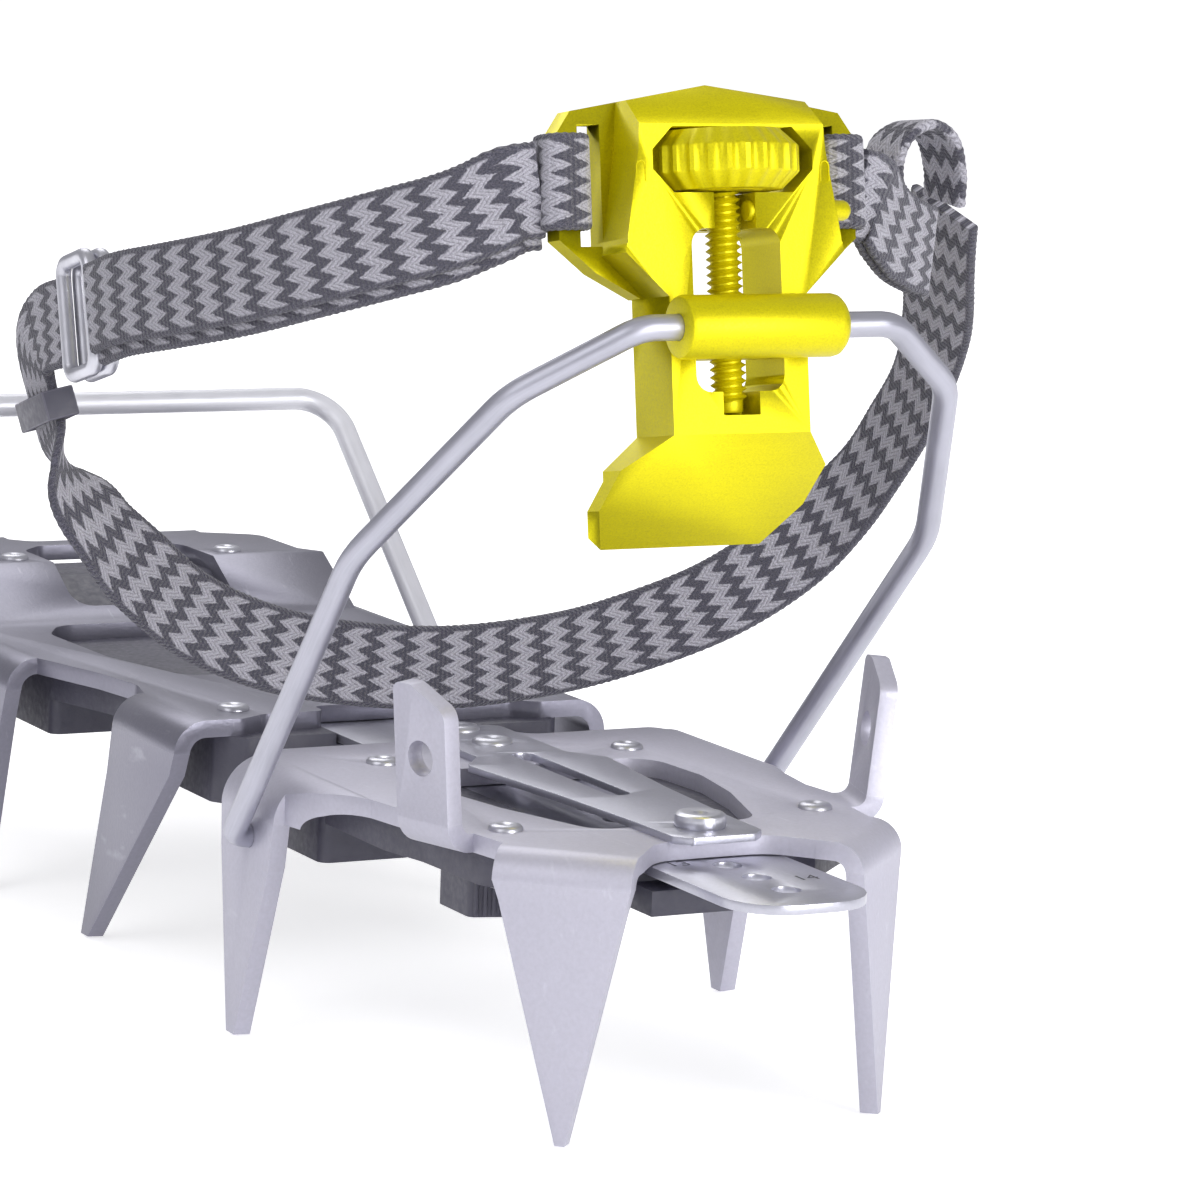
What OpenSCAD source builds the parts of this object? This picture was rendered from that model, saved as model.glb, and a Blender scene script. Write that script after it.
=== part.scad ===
// Mountaineering crampon, one foot: twelve points, wire toe bail, heel bail with a tilting lever.
// Millimetres. +Y points to the toe, +Z up. The points stand on Z = 0.
// Heel sizes count Y from the tips of the rear heel points, so the whole part is moved back at the end.

/* [Steel sheet] */
// Thickness of the frame sheet
sheet_t = 3; // [2:0.1:4]
// Height of the heel platform's top over the ground
ride_h = 45; // [38:0.5:55]
// Inner bend radius of the rear blades and the posts
bend_small = 2; // [1:0.5:4]
// Inner bend radius of the wide front blades of the heel
bend_wide = 5; // [3:0.5:7]
// Inner bend radius of the blades of the front frame
bend_front = 3; // [2:0.5:5]
// Width of the flat at the end of a point
tip_w = 3.2; // [1:0.1:5]

/* [Heel platform] */
// Y of the platform's front edge
heel_front_y = 93.5; // [88:0.5:100]
// Half width of the platform at its front edge
heel_front_half = 36.5; // [32:0.5:38]
// Half width of the opening in the platform
heel_opening_half = 23.5; // [18:0.5:25]
// Half width between the bends of the front blades
heel_blade_half = 38; // [37.5:0.5:44]
// Root length of a front blade of the heel
heel_blade_w = 21; // [16:0.5:26]
// Width of a rear blade at its bend
rear_blade_w = 22; // [18:0.5:24]
// Width of a post
post_w = 11.6; // [9:0.1:14]
// Height of a post over its bend
post_h = 21.5; // [16:0.5:28]
// Bore in each post
post_bore = 5.7; // [4:0.1:7]

/* [Link bar] */
// Width of the bar
bar_w = 24; // [18:0.5:26]
// Thickness of the bar
bar_t = 1.5; // [1:0.1:2]
// Distance from hole to hole
bar_pitch = 9.1; // [8:0.1:10]
// Diameter of the holes
bar_hole = 4.6; // [4.2:0.1:6]
// How far the bar sticks out behind the rear points
bar_tail = 27; // [24:0.5:40]
// Running gap over and under the bar
bar_gap = 0.2; // [0.1:0.05:0.4]

/* [Locking spring] */
// Thickness of the leaf spring
leaf_t = 1.2; // [0.8:0.1:1.6]
// Y of the locking stud
stud_y = 10.5; // [9:0.5:13]
// Diameter of the stud's neck
stud_d = 4; // [3:0.1:4.2]
// Diameter of the stud's head
stud_head = 8.2; // [6:0.1:10]

/* [Heel bail] */
// Diameter of the heel wire
wire_d = 4; // [3:0.1:5]
// Y of the bail's hinge
bail_y = 79.2; // [76:0.2:84]
// Height of the bail's hinge
bail_z = 33.9; // [30:0.1:36]
// Distance from the hinge to the top bar
bail_len = 124.5; // [110:0.5:140]
// Angle of the bail from +Y
bail_angle = 132.2; // [125:0.1:140]
// Half length of the straight top bar
bail_top_half = 21.9; // [19:0.1:26]
// Half width of the bail where it is widest
bail_wide_half = 51.8; // [50:0.1:58]

/* [Heel lever] */
// X of the lever's middle, slid along the wire
lever_x = -1.8; // [-3:0.1:3]
// Tilt of the lever, top towards the toe
lever_tilt = 9; // [0:0.5:20]
// Thickness of the lever's block
lever_t = 12; // [10:0.5:14]
// Distance from the wire axis to the lever's rear face
lever_off = 6; // [5.5:0.1:8]
// Height of the lever over the wire axis
lever_top = 37.6; // [36:0.1:42]
// Half width of the lever over its strap bars
lever_half = 26; // [25:0.1:30]
// Diameter of the cross nut's barrel
barrel_d = 9.7; // [8:0.1:10.5]
// Half length of the cross nut's barrel
barrel_half = 13.9; // [11:0.1:16]
// Distance from the wire axis to the screw axis
screw_off = 10; // [9.5:0.1:10.5]
// Diameter of the adjusting screw
screw_d = 5.6; // [4:0.1:6]
// Diameter of the thumb wheel
wheel_d = 24; // [20:0.1:26]
// Thickness of the thumb wheel
wheel_t = 9.4; // [7:0.1:9.6]

/* [Front frame] */
// Y of the front frame's rear edge
front_rear_y = 124; // [122:0.5:135]
// Length from the front frame's rear edge to the tips of the front points
front_len = 169; // [160:0.5:190]
// Height of the toe platform over the rest of the frame
toe_rise = 9; // [4:0.5:12]
// Half width at the bends of the side points
front_half = 41; // [38:0.5:46]
// Width of a front point at its root
prong_w = 13; // [9:0.5:18]
// Height of the front points' tips
prong_z = 17; // [8:0.5:30]

/* [Toe bail] */
// Diameter of the toe wire
toe_wire_d = 4.5; // [3:0.1:5]
// Y of the toe bail's hinge
toe_bail_y = 203; // [200:0.5:206]
// Height of the toe bail's hinge
toe_bail_z = 35; // [33:0.5:36]
// Distance from its hinge to its top bar
toe_bail_len = 67.9; // [60:0.5:80]
// Angle of the toe bail from +Y
toe_bail_angle = 46.2; // [35:0.5:60]
// Half width of its top bar
toe_top_half = 46; // [43:0.5:50]

/* [Snow plates and rivets] */
// Thickness of the snow plates
snow_t = 3.4; // [2:0.1:5]
// Depth of the heel plate's blocks
snow_block_h = 12; // [8:0.5:16]
// Diameter of the rivets
rivet_d = 4; // [3:0.1:5]
// Diameter of the rivet heads
rivet_head = 5.6; // [5:0.1:8]

/* [Strap] */
// Width of the webbing
strap_w = 15; // [12:0.5:15]
// Thickness of the webbing
strap_t = 1.7; // [1.2:0.1:1.9]

/* [Hidden] */
$fn = 48;

steel = [0.74, 0.74, 0.79];
bright_steel = [0.82, 0.82, 0.86];
wire_grey = [0.62, 0.62, 0.68];
plastic = [0.16, 0.16, 0.2];
lever_yellow = [0.93, 0.88, 0.02];
webbing = [0.45, 0.44, 0.5];

running_gap = 0.06;
flap_skin = 0.01;
flap_lap = 0.15;
bend_tab = 3;
seat_gap = 0.3;
arc_steps = 6;

plate_low = ride_h - sheet_t;
bar_top = plate_low - bar_gap;
bar_low = bar_top - bar_t;
bar_half = bar_w / 2;
snow_floor_top = bar_low - bar_gap - 0.1;
leaf_low = ride_h;
leaf_top = ride_h + leaf_t;
prong_y = front_rear_y + front_len;
mid_y = (prong_y - bar_tail) / 2;

// Rear points
rear_line_mid = [25.2, 5.7];
rear_line_angle = 43.2;
rear_splay = 87.5;
rear_r = bend_small + sheet_t;
rear_blade_len = blade_len(bend_small, rear_splay);

// Posts
post_mid = [36.15, 26.8];
post_toe_in = 16.5;
post_lean = 85;
post_bore_h = 10;
post_half = post_w / 2 - flap_skin;

// Front points of the heel
wide_splay = 87.4;
wide_r = bend_wide + sheet_t;
wide_blade_len = blade_len(bend_wide, wide_splay);
heel_blade_y = 91 - heel_blade_w;

// Rivets
heel_rivet_rear = [27.9, 22.5];
heel_rivet_front = [23, 77.5];
leaf_rivet_y = [82.9, 95.3];

// Wire bends
bail_pin_in = heel_blade_half + 2.5;
bail_corner_r = 3;
bail_leg_half = heel_blade_half + wide_r + 0.2 + bail_corner_r;
bail_upper = [38.4, 0.88 * bail_len];
bail_middle = [bail_wide_half, 0.58 * bail_len];
top_y = bail_y + bail_len * cos(bail_angle);
top_z = bail_z + bail_len * sin(bail_angle);

// Front frame
front_r = bend_front + sheet_t;
front_blade_len = blade_len(bend_front, wide_splay);
tail_half = 36;
tail_blade_y = [121, 149];
side_y = [188, 242];
ramp_y = [226, 242];
toe_front_y = 272;
snow_front_y = 258;
toe_half = 38;
toe_corner_r = 3.2;
toe_leg_half = front_half + front_r + 0.2 + toe_corner_r;
toe_pin_in = front_half + 1;
spare_hole_y = toe_bail_y + 13;
bar_front_y = 160;
bar_bolt_y = [144, 154];
notch_depth = 4.6;
snow_back = 5.6;
front_rivet_rear = [27, 130];
front_rivet_toe = [22.7, 247.6];
prong_x = 21;
prong_t = 3.6;

// Lever
window_half = 13.9;
window_low = 20.6;
window_gap = 0.3;
window_cut = 3.5;
window_h = wheel_t + 2 * window_gap;
neck_half = 3.6;
slot_half = 7.7;
slot_low = -9.6;
slot_high = 15.2;
pocket_low = -13.2;
pocket_half = 3.2;
waist_half = 11.9;
bar_side = [22.4, 13, 31.5];
strap_slot_in = 18.6;
bar_depth = 4;
lever_far = lever_off + lever_t;
nut_half = slot_half - 0.3;
nut_h = 9.2;
strap_mid_b = 22.8;
strap_gap = 0.3;
pin_d = 3.2;
pin_depth = lever_off + 1.8;
pin_b = 17.9;
pin_in = screw_d / 2;
pin_out = 21.1;
roof_fall = 4.1;
roof_half = lever_half - 2.5;
block_top_half = 15.7;

// The routes below are drawn for this place of the wire's middle under the lever, and move with the lever
drawn_at = [-1.8, -4.4292, 126.1302];
lever_moved = [lever_x, top_y, top_z] - drawn_at;

// Routes of the webbing's middle line, chosen by hand, with the way its width points
ROUTE_LEFT = moved([
  [-31, 16.2, 145], [-33.6, 16.8, 144.4], [-37, 18.6, 142.4], [-42.4, 21.5, 139.7], [-48.4, 27.5, 137],
  [-56.9, 39, 132.7], [-63, 51, 128.9], [-68.2, 66, 125.4], [-71.1, 78, 122.9], [-71.5, 88, 120.2]
]);
ROUTE_RIGHT = moved([
  [27.1, 16.2, 144], [29.8, 16.8, 143.4], [33, 18.6, 140.4], [37.3, 21.4, 137.4], [42.3, 24.5, 135.4], [47, 28, 134.2]
]);
ROUTE_FOLD = moved([
  [41.3, 31.6, 142.2], [40.5, 31.2, 147.8], [42.2, 31, 152.1], [46.9, 31.8, 154.1], [51.7, 33.2, 151.9],
  [54.9, 35.5, 146.6], [56, 37, 141.6]
]);
ROUTE_ANKLE = moved([
  [57, 38.4, 140.3], [61, 45.2, 130.5], [67.2, 55.7, 118.7], [70.8, 66, 107.2], [71.4, 75, 97.6], [69.8, 84, 87],
  [63, 93.5, 74.8], [52.2, 101, 65.4], [36.5, 106.5, 58.8], [20.9, 107.5, 55.8], [2.9, 108.5, 54.6],
  [-13.9, 110.5, 55.8], [-28.9, 111, 59], [-43.4, 110, 65.3], [-54.7, 107.5, 74], [-62.2, 107, 82],
  [-67, 111, 91], [-68.7, 115.5, 100.5], [-70.8, 116, 109.5], [-71.5, 110.6, 114.2], [-71.5, 101.9, 116.5]
]);
// Which way the width of the ankle webbing points: along the foot at both sides, upright round the front
UP = [0, 0, 1];
ALONG = [-0.15, 0.99, 0];
HINT_ANKLE = concat(
  [ALONG, ALONG, ALONG, [-0.1, 0.75, 0.4], [-0.1, 0.5, 0.7], [0, 0.25, 0.9]], [for (i = [6:14]) UP],
  [[0, 0.3, 0.7], [0, 0.6, 0.6], [0, 0.9, 0.3], [0, 1, 0.2], [0, 0.6, 0.8], [0, 0.26, 0.97]]
);
FORE = [0.25, -0.95, 0.1];
route_steps = 3;
keeper_at = 17;
keeper_gap = 0.9;
ring_d = 2.5;

function unit(v) = v / norm(v);
function moved(route) = [for (p = route) p + lever_moved];
// Length of a flap from its bend to the ground
function blade_len(r, angle) = (ride_h - sheet_t - r + r * cos(angle)) / sin(angle);
function mirrored(p) = [for (i = [len(p) - 1:-1:0]) if (abs(p[i].x) > 0.001) [-p[i].x, p[i].y]];
function both(p) = concat(p, mirrored(p));

// One corner of a closed outline, rounded with radius r
function corner(a, b, c, r) =
  let (u = unit(a - b), v = unit(c - b), half = acos(u * v) / 2, back = r / tan(half))
  let (centre = b + unit(u + v) * r / sin(half), from = b + u * back - centre, to = b + v * back - centre)
  let (turn = atan2(from.x * to.y - from.y * to.x, from * to), start = atan2(from.y, from.x))
  [for (i = [0:arc_steps]) centre + r * [cos(start + turn * i / arc_steps), sin(start + turn * i / arc_steps)]];

// A closed outline of [x, y, radius] corners
function rounded(p) =
  let (n = len(p))
  [for (i = [0:n - 1])
    let (a = p[(i + n - 1) % n], b = p[i], c = p[(i + 1) % n])
    each (b[2] > 0 ? corner([a.x, a.y], [b.x, b.y], [c.x, c.y], b[2]) : [[b.x, b.y]])];

function mirrored_rounded(p) = concat(p, [for (i = [len(p) - 1:-1:0]) if (abs(p[i].x) > 0.001) [-p[i].x, p[i].y, p[i][2]]]);

// Smooth curve through hand-chosen points
function spline(p, i, t) =
  let (n = len(p) - 1, b = p[i], c = p[min(i + 1, n)])
  let (a = i > 0 ? p[i - 1] : 2 * b - c, d = i + 2 <= n ? p[i + 2] : 2 * c - b)
  0.5 * (2 * b + (c - a) * t + (2 * a - 5 * b + 4 * c - d) * t * t + (3 * b - a - 3 * c + d) * t * t * t);
function curve(p, steps) =
  concat([for (i = [0:len(p) - 2]) for (s = [0:steps - 1]) spline(p, i, s / steps)], [p[len(p) - 1]]);

function same(hint, route) = [for (i = [1:len(route)]) hint];

function turn_at(p, i) =
  let (a = unit(p[i] - p[i - 1]), b = unit(p[i + 1] - p[i]))
  atan2(a.x * b.y - a.y * b.x, a * b);
function cut_back(p, r, i) = r[i] * tan(abs(turn_at(p, i)) / 2);

module both_sides() {
  children();
  mirror([1, 0, 0]) children();
}

// Flat band along a route, w wide along the hints, one for each point, and t thick
module band(route, w, t, hints) {
  p = curve(route, route_steps);
  h = curve(hints, route_steps);
  n = len(p);
  way = [for (i = [0:n - 1]) unit(p[min(i + 1, n - 1)] - p[max(i - 1, 0)])];
  across = [for (i = [0:n - 1]) unit(h[i] - (h[i] * way[i]) * way[i])];
  out = [for (i = [0:n - 1]) cross(way[i], across[i])];
  points = [for (i = [0:n - 1]) each [
    p[i] - across[i] * w / 2 - out[i] * t / 2,
    p[i] + across[i] * w / 2 - out[i] * t / 2,
    p[i] + across[i] * w / 2 + out[i] * t / 2,
    p[i] - across[i] * w / 2 + out[i] * t / 2
  ]];
  sides = [for (i = [0:n - 2]) for (k = [0:3])
    let (a = 4 * i + k, b = 4 * i + (k + 1) % 4)
    each [[a, a + 4, b + 4], [a, b + 4, b]]];
  last = 4 * (n - 1);
  ends = [[0, 1, 2], [0, 2, 3], [last + 2, last + 1, last], [last + 3, last + 2, last]];
  polyhedron(points, concat(sides, ends), convexity = 8);
}

// Closed loop of round wire in the XY plane through the corners p with bend radius r
module wire_loop(p, r, d) {
  n = len(p);
  for (i = [0:n - 2]) {
    way = unit(p[i + 1] - p[i]);
    from = p[i] + way * (i == 0 ? 0 : r);
    to = p[i + 1] - way * (i == n - 2 ? 0 : r);
    translate([from.x, from.y, 0])
      rotate([0, 0, atan2(way.y, way.x)])
        rotate([0, 90, 0]) cylinder(d = d, h = norm(to - from));
  }
  for (i = [1:n - 2]) {
    way = unit(p[i] - p[i - 1]);
    turn = turn_at(p, i);
    normal = sign(turn) * [-way.y, way.x];
    centre = p[i] - way * r + normal * r;
    translate([centre.x, centre.y, 0])
      rotate([0, 0, atan2(-normal.y, -normal.x) + min(turn, 0)])
        rotate_extrude(angle = abs(turn)) translate([r, 0]) circle(d = d);
  }
}

// Rings [middle, heading, scale] round the bend at corner i of a wire's line
function bend_rings(p, r, i) =
  let (way = unit(p[i] - p[i - 1]), turn = turn_at(p, i), heading = atan2(way.y, way.x), side = sign(turn))
  let (centre = p[i] - way * cut_back(p, r, i) + side * r[i] * [-way.y, way.x])
  let (steps = max(2, ceil(abs(turn) / 12)))
  [for (k = [0:steps])
    let (h = heading + turn * k / steps)
    [centre + r[i] * side * [sin(h), -cos(h)], h, 1]];

// Rings where the wire goes into the straight cylinder that ends at the point a
function end_rings(a, way) =
  let (h = atan2(way.y, way.x))
  [[a - 2 * way, h, 0.6], [a - 0.2 * way, h, 0.94], [a + 0.2 * way, h, 1]];

// Bent wire in the XY plane; both of its ends run into straight cylinders of the same diameter
module bent_wire(p, r, d) {
  n = len(p);
  sides = 16;
  last_way = unit(p[n - 1] - p[n - 2]);
  tail = end_rings(p[n - 1], -last_way);
  rings = concat(
    end_rings(p[0], unit(p[1] - p[0])),
    [for (i = [1:n - 2]) each bend_rings(p, r, i)],
    [for (k = [2:-1:0]) [tail[k][0], tail[k][1] + 180, tail[k][2]]]
  );
  points = [for (g = rings) for (k = [0:sides - 1])
    let (a = 360 * k / sides, s = g[2] * d / 2)
    [g[0].x - s * cos(a) * sin(g[1]), g[0].y + s * cos(a) * cos(g[1]), s * sin(a)]];
  walls = [for (i = [0:len(rings) - 2]) for (k = [0:sides - 1])
    let (a = sides * i + k, b = sides * i + (k + 1) % sides)
    each [[a, a + sides, b + sides], [a, b + sides, b]]];
  last = sides * (len(rings) - 1);
  caps = [[for (k = [0:sides - 1]) k], [for (k = [sides - 1:-1:0]) last + k]];
  polyhedron(points, concat(walls, caps), convexity = 8);
}

// A bail: two hinge pins, two bent legs and a straight top bar; half lists the corners of the right half
module bail(half, radii, d) {
  n = len(half);
  top_end = half[n - 1].x - cut_back(concat(half, [[0, half[n - 1].y]]), concat(radii, [0]), n - 1) - 0.5;
  pin_end = half[1].x - cut_back(half, radii, 1) - 0.5;
  legs = concat([[pin_end, 0]], [for (i = [1:n - 1]) half[i]], [[top_end, half[n - 1].y]]);
  both_sides() {
    bent_wire(legs, concat([0], [for (i = [1:n - 1]) radii[i]], [0]), d);
    translate([half[0].x, 0, 0]) rotate([0, 90, 0]) cylinder(d = d, h = pin_end - half[0].x);
  }
  translate([-top_end, half[n - 1].y, 0]) rotate([0, 90, 0]) cylinder(d = d, h = 2 * top_end);
}

// Quarter bend of the sheet, down from a line along Y at X = 0, top at Z = 0, with a tab that lies in the plate
module bend(r, angle, w, tab = 0) {
  translate([0, -w / 2, -sheet_t - r]) rotate([-90, -90, 0])
    rotate_extrude(angle = angle) translate([r, 0]) square([sheet_t, w]);
  if (tab > 0) translate([-tab, -w / 2, -sheet_t]) cube([tab, w, sheet_t]);
}

// Flat flap that goes on from such a bend; its outline has X along the flap and starts a little inside the bend
module flap(r, angle) {
  translate([0, 0, -sheet_t - r]) rotate([0, angle, 0]) translate([0, 0, r + flap_skin])
    linear_extrude(sheet_t - 2 * flap_skin) children();
}

module rivet(top, low, head = rivet_head) {
  flush_rivet(top, low, head);
  translate([0, 0, low - 0.8]) cylinder(d1 = head - 1, d2 = head, h = 0.8);
}

module flush_rivet(top, low, head) {
  translate([0, 0, low]) cylinder(d = rivet_d, h = top - low);
  translate([0, 0, top]) cylinder(d1 = head, d2 = head - 1, h = 1);
}

module rear_blade() {
  translate([rear_line_mid.x, rear_line_mid.y, ride_h]) rotate([0, 0, rear_line_angle - 90]) {
    bend(bend_small, rear_splay, rear_blade_w, bend_tab);
    flap(bend_small, rear_splay) polygon([
      [-flap_lap, -rear_blade_w / 2 + flap_skin], [3, -rear_blade_w / 2 + 0.8], [rear_blade_len, -1.7 - tip_w / 4],
      [rear_blade_len, -1.7 + tip_w / 4], [3, rear_blade_w / 2 - 1.2], [-flap_lap, rear_blade_w / 2 - flap_skin]
    ]);
  }
}

module post() {
  translate([post_mid.x, post_mid.y, plate_low]) rotate([0, 0, -post_toe_in]) mirror([0, 0, 1]) {
    difference() {
      union() {
        bend(bend_small, post_lean, post_w, bend_tab);
        flap(bend_small, post_lean) polygon(rounded([
          [-flap_lap, -post_half, 0], [post_h - 3.5, -post_half, 3], [post_h, post_half - 4, 2.2],
          [post_h, post_half, 1.5], [-flap_lap, post_half, 0]
        ]));
      }
      translate([0, 0, -sheet_t - bend_small]) rotate([0, post_lean, 0]) translate([post_bore_h, 0, 0])
        cylinder(d = post_bore, h = 4 * sheet_t);
    }
  }
}

module wide_blade() {
  translate([heel_blade_half, heel_blade_y + heel_blade_w / 2, ride_h]) {
    bend(bend_wide, wide_splay, heel_blade_w);
    flap(bend_wide, wide_splay) polygon([
      [-flap_lap, -heel_blade_w / 2 + flap_skin], [7, -heel_blade_w / 2 + 0.7], [16, -heel_blade_w / 2 + 3.4],
      [wide_blade_len, 1 - tip_w / 2], [wide_blade_len, 1 + tip_w / 2],
      [7, heel_blade_w / 2 - 1], [-flap_lap, heel_blade_w / 2 - flap_skin]
    ]);
  }
}

// Where the side edge of the platform curls into the front blade
module wide_blade_fillet() {
  length = 20;
  difference() {
    translate([heel_blade_half, heel_blade_y - length / 2, ride_h]) bend(bend_wide, wide_splay, length);
    translate([0, heel_blade_y, 0]) linear_extrude(ride_h + 1) polygon([
      [heel_blade_half - 1, -length - 1], [heel_blade_half, -length], [heel_blade_half + 3.5, -10],
      [heel_blade_half + 6, 0], [heel_blade_half + 6, 1], [heel_blade_half + 20, 1], [heel_blade_half + 20, -length - 1]
    ]);
  }
}

function heel_outline() = mirrored_rounded([
  [0, 6.5, 0], [10, 6.3, 8], [16.8, -1.4, 0], [32.8, 13.7, 0], [34, 21.4, 0], [37.1, 32.5, 0],
  [36.4, 40, 3], [heel_blade_half, heel_blade_y - 20, 4], [heel_blade_half, heel_blade_y + heel_blade_w, 0],
  [heel_front_half, heel_front_y, 2.5], [11, heel_front_y, 4], [11, heel_front_y + 6.5, 4], [0, heel_front_y + 6.5, 0]
]);
function heel_opening() = mirrored_rounded([
  [0, 18, 0], [14.5, 18, 5], [heel_opening_half - 2.5, 38, 12], [heel_opening_half, 52, 8],
  [heel_opening_half - 1, 69, 6], [0, 69, 0]
]);

module heel_frame() {
  color(steel) difference() {
    union() {
      translate([0, 0, plate_low]) linear_extrude(sheet_t) difference() {
        polygon(rounded(heel_outline()));
        polygon(rounded(heel_opening()));
      }
      both_sides() {
        rear_blade();
        post();
        wide_blade();
        wide_blade_fillet();
      }
    }
    both_sides() {
      for (p = [heel_rivet_rear, heel_rivet_front])
        translate([p.x, p.y, plate_low - 1]) cylinder(d = rivet_d + 2 * running_gap, h = sheet_t + 2);
      translate([bail_pin_in, bail_y, bail_z]) rotate([0, 90, 0])
        cylinder(d = wire_d + 2 * running_gap, h = 20);
    }
    for (y = leaf_rivet_y) translate([0, y, plate_low - 1]) cylinder(d = rivet_d + 2 * running_gap, h = sheet_t + 2);
    translate([0, stud_y, plate_low - 1]) cylinder(d = stud_d + 2, h = sheet_t + 2);
  }
}

module heel_snow_plate() {
  low = snow_floor_top - snow_t;
  color(plastic) difference() {
    union() {
      translate([0, 0, low]) linear_extrude(plate_low - low) polygon(both([
        [0, 8.5], [20, 8.5], [30.5, 18], [32.5, 22], [33.5, 40], [35.5, 50], [36, 90.5], [0, 90.5]
      ]));
      both_sides() {
        translate([0, 0, plate_low - snow_block_h]) linear_extrude(snow_block_h) polygon(rounded([
          [19.5, 71.5, 2], [36.5, 71.5, 2], [36.5, 90.5, 2], [19.5, 90.5, 2]
        ]));
        translate([0, 0, plate_low - snow_block_h]) linear_extrude(snow_block_h) polygon(rounded([
          [20, 24, 1.2], [24.6, 24, 0.6], [25.5, 26.4, 0.6], [31, 28, 1.5], [31, 40, 2], [22, 40, 2]
        ]));
      }
      translate([-13, 1.5, plate_low - 7.5]) cube([26, 9, 4]);
    }
    translate([0, 0, snow_floor_top]) linear_extrude(10)
      polygon([[-bar_half - 0.4, -5], [bar_half + 0.4, -5], [bar_half + 0.4, 100], [-bar_half - 0.4, 100]]);
    both_sides() for (p = [heel_rivet_rear, heel_rivet_front])
      translate([p.x, p.y, 0]) cylinder(d = rivet_d + 2 * running_gap, h = ride_h);
    translate([0, stud_y, 0]) cylinder(d = stud_d + 2, h = ride_h);
  }
}

module heel_rivets_rear() {
  color(bright_steel) both_sides() translate([heel_rivet_rear.x, heel_rivet_rear.y, 0])
    rivet(ride_h, snow_floor_top - snow_t);
}

module heel_rivets_front() {
  color(bright_steel) both_sides() translate([heel_rivet_front.x, heel_rivet_front.y, 0])
    rivet(ride_h, plate_low - snow_block_h);
}

module leaf_spring() {
  color(steel) translate([0, 0, leaf_low]) linear_extrude(leaf_t) difference() {
    polygon(rounded(mirrored_rounded([
      [0, 2.5, 0], [5.5, 2.5, 1], [8, 5, 1], [8.3, 16, 3], [10, 40, 10], [13, 66, 2], [8.3, 72, 2],
      [8.3, 98, 3], [0, 98, 0]
    ])));
    polygon(rounded([[2, 36, 1.8], [2, 73, 1.8], [-2, 73, 1.8], [-2, 36, 1.8]]));
    for (y = leaf_rivet_y) translate([0, y]) circle(d = rivet_d + 2 * running_gap);
    translate([0, stud_y]) circle(d = stud_d + 2 * running_gap);
  }
}

module leaf_rivets() {
  color(bright_steel) for (y = leaf_rivet_y) translate([0, y, 0]) flush_rivet(leaf_top, plate_low, 7);
}

module locking_stud() {
  color(bright_steel) translate([0, stud_y, 0]) {
    translate([0, 0, bar_low - 1.2]) cylinder(d1 = stud_d - 1, d2 = stud_d, h = 0.8);
    translate([0, 0, bar_low - 0.4]) cylinder(d = stud_d, h = leaf_top - bar_low + 0.4);
    translate([0, 0, leaf_top]) cylinder(d = stud_head, h = 1.7);
    translate([0, 0, leaf_top + 1.7]) cylinder(d1 = stud_head, d2 = stud_head - 1.2, h = 0.6);
  }
}

module link_bar() {
  color(steel) translate([0, 0, bar_low]) linear_extrude(bar_t) difference() {
    polygon(rounded([
      [-bar_half, -bar_tail, 9], [bar_half, -bar_tail, 9], [bar_half, bar_front_y, 3], [-bar_half, bar_front_y, 3]
    ]));
    for (k = [-3:6]) translate([0, stud_y + k * bar_pitch]) circle(d = bar_hole);
    for (y = bar_bolt_y) translate([0, y]) circle(d = rivet_d + 1 + 2 * running_gap);
  }
}

module bar_bolts() {
  color(bright_steel) for (y = bar_bolt_y) translate([0, y, 0]) {
    translate([0, 0, snow_floor_top - snow_t - 3]) cylinder(d = rivet_d + 1, h = ride_h + 3 - snow_floor_top + snow_t);
    translate([0, 0, ride_h]) cylinder(d = 8.5, h = 1.8);
    translate([0, 0, ride_h + 1.8]) cylinder(d1 = 8.5, d2 = 7, h = 0.7);
  }
}

module bar_nuts() {
  color(bright_steel) for (y = bar_bolt_y) translate([0, y, snow_floor_top - snow_t - 3.2]) difference() {
    cylinder(d = 9.2, h = 3.2, $fn = 6);
    translate([0, 0, -1]) cylinder(d = rivet_d + 1 + 2 * running_gap, h = 6);
  }
}

module heel_bail() {
  half = [[bail_pin_in, 0], [bail_leg_half, 0], bail_middle, bail_upper, [bail_top_half, bail_len]];
  color(wire_grey) translate([0, bail_y, bail_z]) rotate([bail_angle, 0, 0])
    bail(half, [0, bail_corner_r, 20, 14, 7], wire_d);
}

// The lever and its nut are drawn round the wire: X across, Y depth towards the toe, Z up the lever
module at_lever() {
  translate([lever_x, top_y, top_z]) rotate([-lever_tilt, 0, 0]) children();
}

module cross_nut() {
  color(lever_yellow) at_lever() difference() {
    union() {
      translate([-barrel_half, 0, 0]) rotate([0, 90, 0]) cylinder(d = barrel_d, h = 2 * barrel_half);
      translate([-nut_half, 0, -nut_h / 2]) cube([2 * nut_half, screw_off + 4.6, nut_h]);
    }
    translate([-barrel_half - 1, 0, 0]) rotate([0, 90, 0])
      cylinder(d = wire_d + 2 * running_gap, h = 2 * barrel_half + 2);
    translate([0, screw_off, -nut_h]) cylinder(d = screw_d + 2 * running_gap, h = 2 * nut_h);
  }
}

// Profile seen from the side, drawn across the whole lever
module across_lever(profile) {
  translate([-lever_half - 5, 0, 0]) rotate([90, 0, 90]) linear_extrude(2 * lever_half + 10) polygon(profile);
}

// Outline seen from behind, cut through the depth from a to b
module through_lever(outline, a, b) {
  translate([0, b, 0]) rotate([90, 0, 0]) linear_extrude(b - a) polygon(outline);
}

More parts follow.
